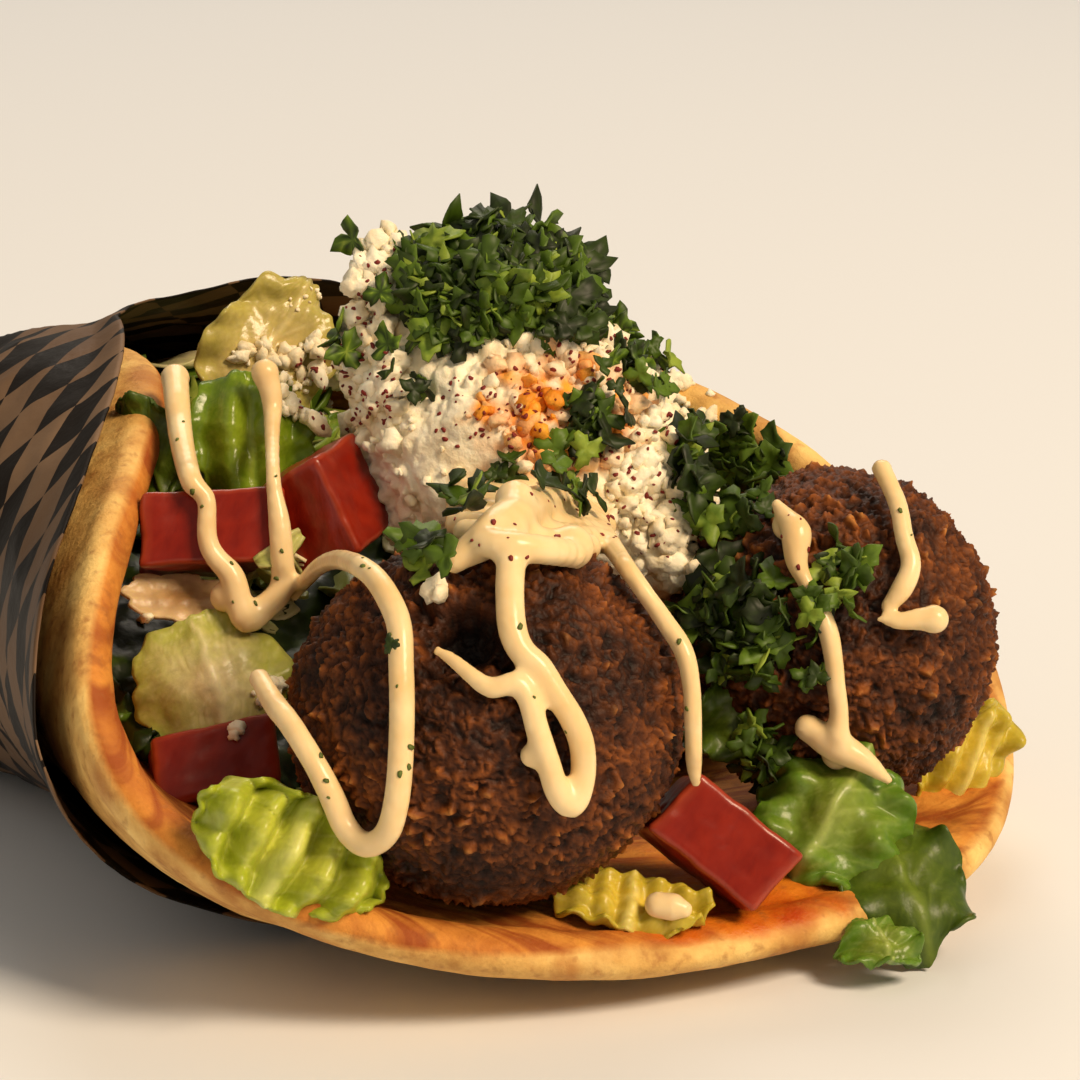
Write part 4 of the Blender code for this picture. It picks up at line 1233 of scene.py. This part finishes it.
def herb_core():
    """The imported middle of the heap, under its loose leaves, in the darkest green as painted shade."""
    bm = bmesh.new()
    bmesh.ops.create_icosphere(bm, subdivisions=5, radius=1.0)
    tint = bm.verts.layers.float.new("tint")
    centre = Vector((2.6, -50.5, 63.0)) + PLACE
    for vert in bm.verts:
        way = vert.co.normalized()
        spot = Vector((way.x * 12.2, way.y * 12.0, way.z * 8.6))
        # painted shade: the core under the loose leaves is given the darkest green
        vert[tint] = 0.0
        vert.co = centre + spot + way * (2.2 * noise.noise(spot / 4.0) + 0.6 * noise.noise(spot / 1.2) - 2.0)
    return bm


# %% [markdown]
# Fresh parsley: dark green, thin, waxy on top and duller below. The leaves in one heap differ
# in lightness, partly from that and partly as painted light and shade; the core is painted darkest.

# %% Finish of the parsley
def parsley_green():
    material, tree, shader = start_material("fresh flat parsley", 0.50, IOR=1.38)
    tint = add(tree, "Attribute", attribute_name="tint").outputs["Fac"]
    place = add(tree, "TexCoord").outputs["Object"]
    fine = add(tree, "TexNoise", {"Vector": place, "Scale": 1.0 / (1.4 * MM), "Detail": 3.0})
    both = add(tree, "Math", {0: fine.outputs["Fac"], 1: 0.5, 2: -0.25}, operation="MULTIPLY_ADD")
    where = add(tree, "Math", {0: tint, 1: both.outputs["Value"]}, operation="ADD", use_clamp=True)
    # the tint runs from near black to light green: painted light and shade, partly the leaves' own undersides
    base = add(tree, "ValToRGB", {"Fac": where.outputs["Value"]},
               stops=[(0.0, "#1a2408"), (1.0, "#8ca038"), (0.42, "#3a520c"), (0.78, "#5a761c")])
    tree.links.new(base.outputs["Color"], shader.inputs["Base Color"])
    return material


fresh_parsley = parsley_green()
heap = make_piece("parsley_heap", herb_core(), fresh_parsley, ["parsley_pile"])

# %% [markdown]
# ## The sauce
# Thick sesame sauce leaves the bottle as a round strand that lies in loops, sticks to what it
# touches, hangs across gaps and runs into the strand next to it. Each strand is given by a few
# points across and up with its radius. They are dropped onto the food, made tubes,
# and all tubes and drops are fused into one skin by a voxel remesh.

# %% The strands: across, up and radius
STRANDS = [
    [(-41.0, 18.2, 1.9), (-40.3, 11.3, 1.7), (-39.0, 6.2, 1.5), (-37.5, 4.8, 1.3), (-37.4, 0.2, 1.4),
     (-36.4, -2.0, 1.5), (-34.6, -4.0, 1.7), (-33.8, -7.0, 1.8), (-33.0, -9.0, 1.9), (-31.0, -7.6, 1.8),
     (-29.0, -5.4, 1.7), (-29.0, -1.7, 1.6), (-29.3, 2.0, 1.5), (-29.9, 6.2, 1.1), (-30.1, 11.3, 1.1),
     (-30.1, 15.8, 1.5), (-30.9, 18.8, 1.8)],
    [(-31.5, -15.6, 1.3), (-29.8, -18.5, 1.5), (-28.0, -20.8, 1.5), (-25.2, -25.3, 1.5), (-23.3, -29.0, 1.6),
     (-21.8, -32.4, 1.6), (-19.6, -34.3, 1.6), (-17.3, -33.1, 1.6), (-16.2, -29.8, 1.6), (-15.7, -25.3, 1.6),
     (-15.5, -19.3, 1.6), (-15.6, -14.2, 1.6), (-15.8, -9.7, 1.6), (-17.0, -6.6, 1.6), (-18.8, -4.0, 1.5),
     (-21.0, -2.6, 1.4), (-22.9, -2.2, 1.3), (-24.7, -2.9, 1.2), (-26.3, -4.5, 1.1), (-27.6, -6.2, 0.8)],
    [(-2.8, 4.5, 2.3), (-3.1, -0.7, 1.9), (-3.4, -5.5, 1.8), (-3.1, -10.0, 1.8), (-2.0, -12.6, 1.7),
     (-0.2, -14.2, 1.7), (1.7, -17.1, 1.6), (3.6, -20.1, 1.6), (4.7, -23.0, 1.6), (4.8, -26.7, 1.6),
     (3.6, -29.8, 1.7), (2.0, -28.3, 1.6), (0.9, -24.9, 1.5), (-0.2, -21.6, 1.5), (-1.3, -17.9, 1.4),
     (-2.8, -16.0, 1.4), (-5.4, -16.7, 1.3), (-7.6, -15.3, 1.1), (-9.9, -13.4, 0.9), (-11.4, -12.5, 0.7)],
    [(6.9, 1.1, 1.5), (9.1, -2.2, 1.3), (11.8, -6.0, 1.2), (14.4, -9.7, 1.3), (16.2, -12.6, 1.3),
     (17.0, -16.4, 1.2), (17.2, -20.8, 1.2), (17.3, -25.3, 1.1), (17.5, -27.2, 0.7)],
    [(26.6, 4.0, 0.8), (27.9, 2.2, 1.5), (28.8, 0.8, 2.1), (28.8, -2.4, 1.5), (29.9, -4.9, 1.1),
     (31.2, -7.4, 1.3), (32.4, -10.3, 1.4), (33.0, -13.5, 1.3), (33.3, -16.7, 1.3), (33.6, -19.2, 1.3), (33.4, -22.0, 1.6)],
    [(30.1, -21.1, 1.7), (33.1, -23.0, 2.2), (36.5, -24.9, 1.6), (39.1, -27.0, 0.7)],
    [(38.4, 8.0, 1.3), (40.2, 4.0, 1.3), (40.9, 0.4, 1.3), (41.7, -2.8, 1.4), (40.6, -5.6, 1.5),
     (39.1, -7.4, 1.0)],
    [(38.1, -8.9, 0.5), (40.2, -9.2, 1.1), (42.4, -8.9, 1.5), (44.3, -8.9, 1.8)],
    [(-9.6, -2.2, 1.6), (-7.0, -0.6, 2.2), (-4.5, 1.3, 2.8), (-1.7, 3.1, 2.9), (1.1, 3.9, 2.8),
     (3.9, 3.1, 2.6), (6.9, 1.1, 1.7)],
]
POOL = ((-1.4, 2.6), (8.6, 4.4), 1.7)         # middle, half size and radius of the drops that fill it
DROPS = [(-0.9, -24.2, 1.4), (13.2, -41.0, 1.6), (14.8, -41.2, 1.7), (16.2, -41.5, 1.1),
         (27.8, 1.6, 1.9), (-35.4, -6.4, 1.9), (33.4, -24.0, 2.0)]
RUNNING = (3.5, -0.8, 2.6)  # the thick drop that runs out of the pool
POOL_SINK = 1.1             # mm that the pool and its drop lie deeper than a strand


# %% Lay the strands
STRAND_FULL = 0.88       # share of the given radius that a strand keeps, as melting them adds some
LEAN = 2.0               # mm; a strand also leans on what stands this close beside it


def smooth_route(points, step=0.7):
    """Points a short step apart on a smooth curve through the given ones."""
    rows = np.array([points[0], *points, points[-1]], float)
    route = []
    for i in range(1, len(rows) - 2):
        before, start, end, after = rows[i - 1:i + 3]
        count = max(int(np.hypot(*(end - start)[:2]) / step), 1)
        for t in np.arange(count) / count:
            route.append(0.5 * (2.0 * start + (end - before) * t
                                + (2.0 * before - 5.0 * start + 4.0 * end - after) * t ** 2
                                + (3.0 * start - before - 3.0 * end + after) * t ** 3))
    return route + [rows[-2]]


def lay_strand(surface, points):
    """Drop a strand onto the food: it rests on what stands proud and hangs over the gaps."""
    route = smooth_route(points)
    ways, depths = [], []
    for across, up, _ in route:
        ways.append((HEART + RIGHT * across + UP * up - EYE).normalized())
        depths.append(rest_depth(surface, across, up, LEAN))
    depths = np.array(depths)
    known = ~np.isnan(depths)
    depths = np.interp(np.arange(len(depths)), np.flatnonzero(known), depths[known])
    proud = [depths[max(i - 3, 0):i + 4].min() for i in range(len(depths))]
    padded = np.pad(proud, 4, mode="edge")
    rest = np.convolve(padded, np.ones(9) / 9.0, mode="valid")
    rest = np.minimum(rest, depths + 0.3)
    return [(EYE + way * (depth - 0.5 * row[2]), row[2]) for way, depth, row in zip(ways, rest, route)]


def sauce_skin(surface):
    """All strands and drops in one mesh, in millimetres, to be fused into one skin afterwards."""
    curve = bpy.data.curves.new("strands", "CURVE")
    curve.dimensions = "3D"
    curve.bevel_depth = STRAND_FULL
    curve.bevel_resolution = 5
    curve.use_fill_caps = True
    ends = []
    for points in STRANDS:
        laid = lay_strand(surface, points)
        spline = curve.splines.new("POLY")
        spline.points.add(len(laid) - 1)
        for point, (spot, radius) in zip(spline.points, laid):
            point.co = (*spot, 1.0)
            point.radius = radius
        ends += [laid[0], laid[-1]]
    middle_at, half_size, thick = POOL
    spots = [(middle_at[0] + across, middle_at[1] + up - 0.12 * across)
             for across in np.arange(-half_size[0], half_size[0], 0.9)
             for up in np.arange(-half_size[1], half_size[1], 0.9)
             if math.hypot(across / half_size[0], up / half_size[1]) < 1.0]
    depths = np.array([rest_depth(surface, *spot, LEAN) for spot in spots])
    terms = np.array([(1.0, x, y, x * x, x * y, y * y) for x, y in spots])
    smoothed = terms @ np.linalg.lstsq(terms, depths, rcond=None)[0]
    for spot, depth in zip(spots, smoothed):
        way = (HEART + RIGHT * spot[0] + UP * spot[1] - EYE).normalized()
        ends.append((EYE + way * (depth + POOL_SINK), thick))
    way = (HEART + RIGHT * RUNNING[0] + UP * RUNNING[1] - EYE).normalized()
    ends.append((EYE + way * (rest_depth(surface, *RUNNING) + POOL_SINK), RUNNING[2]))
    for across, up, radius in DROPS:
        way = (HEART + RIGHT * across + UP * up - EYE).normalized()
        ends.append((EYE + way * rest_depth(surface, across, up, radius), radius))
    tubes = bpy.data.objects.new("strands", curve)
    bpy.context.scene.collection.objects.link(tubes)
    graph = bpy.context.evaluated_depsgraph_get()
    graph.update()
    bm = bmesh.new()
    bm.from_mesh(tubes.evaluated_get(graph).to_mesh())
    bpy.data.objects.remove(tubes)
    bmesh.ops.remove_doubles(bm, verts=bm.verts, dist=0.001)
    for spot, radius in ends:
        bmesh.ops.create_icosphere(bm, subdivisions=2, radius=radius, matrix=Matrix.Translation(spot))
    return bm


# %% [markdown]
# Sesame sauce: smooth, thick and glossy, ivory with a warm depth, as light goes a little way in.

# %% Finish of the sauce
def sesame_cream():
    material, tree, shader = start_material("sesame and garlic sauce", 0.26, IOR=1.42)
    shader.inputs["Subsurface Weight"].default_value = 0.25
    shader.inputs["Subsurface Radius"].default_value = (0.003, 0.002, 0.001)
    place = add(tree, "TexCoord").outputs["Object"]
    cloud = add(tree, "TexNoise", {"Vector": place, "Scale": 1.0 / (5.0 * MM), "Detail": 3.0})
    base = add(tree, "ValToRGB", {"Fac": cloud.outputs["Fac"]},
               stops=[(0.30, "#e9c88f"), (0.70, "#f4dcab")])
    tree.links.new(base.outputs["Color"], shader.inputs["Base Color"])
    return material


ground = surface_of(bread, ball_front, ball_right, core, mound, heap, crumbs, *dice, *leaves)
sauce = make_piece("sesame_sauce", sauce_skin(ground), sesame_cream())
fuse(sauce, 0.42, 9)

# %% Strew the parsley over everything
ground = surface_of(bread, ball_front, ball_right, core, mound, heap, crumbs, sauce, *dice, *leaves)
parsley = make_piece("parsley_leaves", strew(ground, random.Random(11)), fresh_parsley)
thicken(parsley, 0.22)

# %% [markdown]
# ## Flecks
# Sumac is ground to dark red flakes and the sauce holds specks of dried herb. Both are
# stamped as flat little flakes, finer than rice, where they show.

# %% Sumac and dried herb
FLECK_BEDS = {
    "sumac_flecks": [((-21.5, 17.5), (6.5, 5.5), 110), ((-18.0, 27.5), (4.0, 6.0), 30),
                     ((-6.0, 15.0), (8.0, 5.0), 50), ((6.0, 15.0), (9.0, 8.0), 70),
                     ((14.0, 4.0), (7.0, 8.0), 50), ((-1.0, 1.0), (9.0, 5.0), 18), ((9.0, 22.0), (7.0, 4.0), 40),
                     ((29.0, 0.0), (3.0, 5.0), 8)],
    "herb_specks": [((-35.0, 4.0), (7.0, 14.0), 26), ((-20.0, -18.0), (8.0, 16.0), 26),
                    ((1.0, -18.0), (6.0, 12.0), 12), ((14.0, -14.0), (5.0, 14.0), 12),
                    ((42.0, 0.0), (3.0, 9.0), 5)],
}


def flake_template():
    bm = bmesh.new()
    bmesh.ops.create_icosphere(bm, subdivisions=1, radius=1.0)
    for vert in bm.verts:
        vert.co *= 1.0 + 0.5 * noise.noise(vert.co * 1.7)
    return template_mesh("flake", bm)


def strew_flecks(surface, beds, rng):
    bm = bmesh.new()
    flake = flake_template()
    for centre, radii, count in beds:
        for _ in range(count):
            across, up = spread(rng, centre, radii)
            spot, normal = drop(surface, across, up)
            size = rng.uniform(0.15, 0.50)
            spin = rng.uniform(0, 6.28)
            if spot is not None:
                stamp(bm, flake, seat(spot + normal * 0.05, normal, (size, size * 0.7, size * 0.3), spin))
    return bm


def dry_flake(name, code):
    material, tree, shader = start_material(name, 0.6)
    place = add(tree, "TexCoord").outputs["Object"]
    cloud = add(tree, "TexNoise", {"Vector": place, "Scale": 1.0 / (0.8 * MM)})
    dull = add(tree, "MapRange", {"Value": cloud.outputs["Fac"], "To Min": 0.5, "To Max": 1.5})
    shaded = add(tree, "Mix", {0: 1.0, 6: linear(code), 7: dull.outputs["Result"]},
                 data_type="RGBA", blend_type="MULTIPLY")
    tree.links.new(shaded.outputs[2], shader.inputs["Base Color"])
    return material


food = surface_of(mound, crumbs, sauce)
sumac = make_piece("sumac_flecks", strew_flecks(food, FLECK_BEDS["sumac_flecks"], random.Random(3)),
                   dry_flake("ground sumac", "#7a1a12"))
only_sauce = surface_of(sauce)
specks = make_piece("herb_specks", strew_flecks(only_sauce, FLECK_BEDS["herb_specks"], random.Random(4)),
                    dry_flake("dried green herb", "#56641f"))

# %% Floor, light and camera
floor_mesh = bmesh.new()
bmesh.ops.create_grid(floor_mesh, x_segments=1, y_segments=1, size=3.0)
floor_data = bpy.data.meshes.new("floor")
floor_mesh.to_mesh(floor_data)
floor_mesh.free()
floor = bpy.data.objects.new("floor", floor_data)
bpy.context.scene.collection.objects.link(floor)
paint, _, paint_shader = start_material("pale studio floor", 0.8)
paint_shader.inputs["Base Color"].default_value = linear("#e8ecf2")
floor_data.materials.append(paint)

camera = bpy.data.cameras.new("camera")
camera.lens = 125.0
camera.clip_start = 0.01
eye = bpy.data.objects.new("camera", camera)
eye.location = EYE * MM
eye.rotation_euler = (math.radians(90.0 - TILT), 0.0, TURN)
bpy.context.scene.collection.objects.link(eye)
bpy.context.scene.camera = eye


def soft_light(name, azimuth, elevation, distance, size, power, code):
    """An area light that faces the food from the given side."""
    turn, rise = math.radians(azimuth), math.radians(elevation)
    way = Vector((math.sin(turn) * math.cos(rise), -math.cos(turn) * math.cos(rise), math.sin(rise)))
    lamp = bpy.data.lights.new(name, "AREA")
    lamp.size = size
    lamp.energy = power
    lamp.color = linear(code)[:3]
    item = bpy.data.objects.new(name, lamp)
    item.location = HEART * MM + way * distance
    item.rotation_euler = way.to_track_quat("Z", "Y").to_euler()
    bpy.context.scene.collection.objects.link(item)


soft_light("key", 8.0, 42.0, 2.6, 0.85, 76.0, "#ffe4c0")
soft_light("fill", -95.0, 38.0, 2.6, 2.0, 4.5, "#ffeedd")
soft_light("rim", 140.0, 45.0, 2.6, 1.3, 20.0, "#fff1e0")
world = bpy.data.worlds.new("studio")
world.use_nodes = True
world.node_tree.nodes["Background"].inputs["Color"].default_value = linear("#f4e9d6")
world.node_tree.nodes["Background"].inputs["Strength"].default_value = 0.30
bpy.context.scene.world = world
bpy.context.scene.view_settings.view_transform = "Standard"
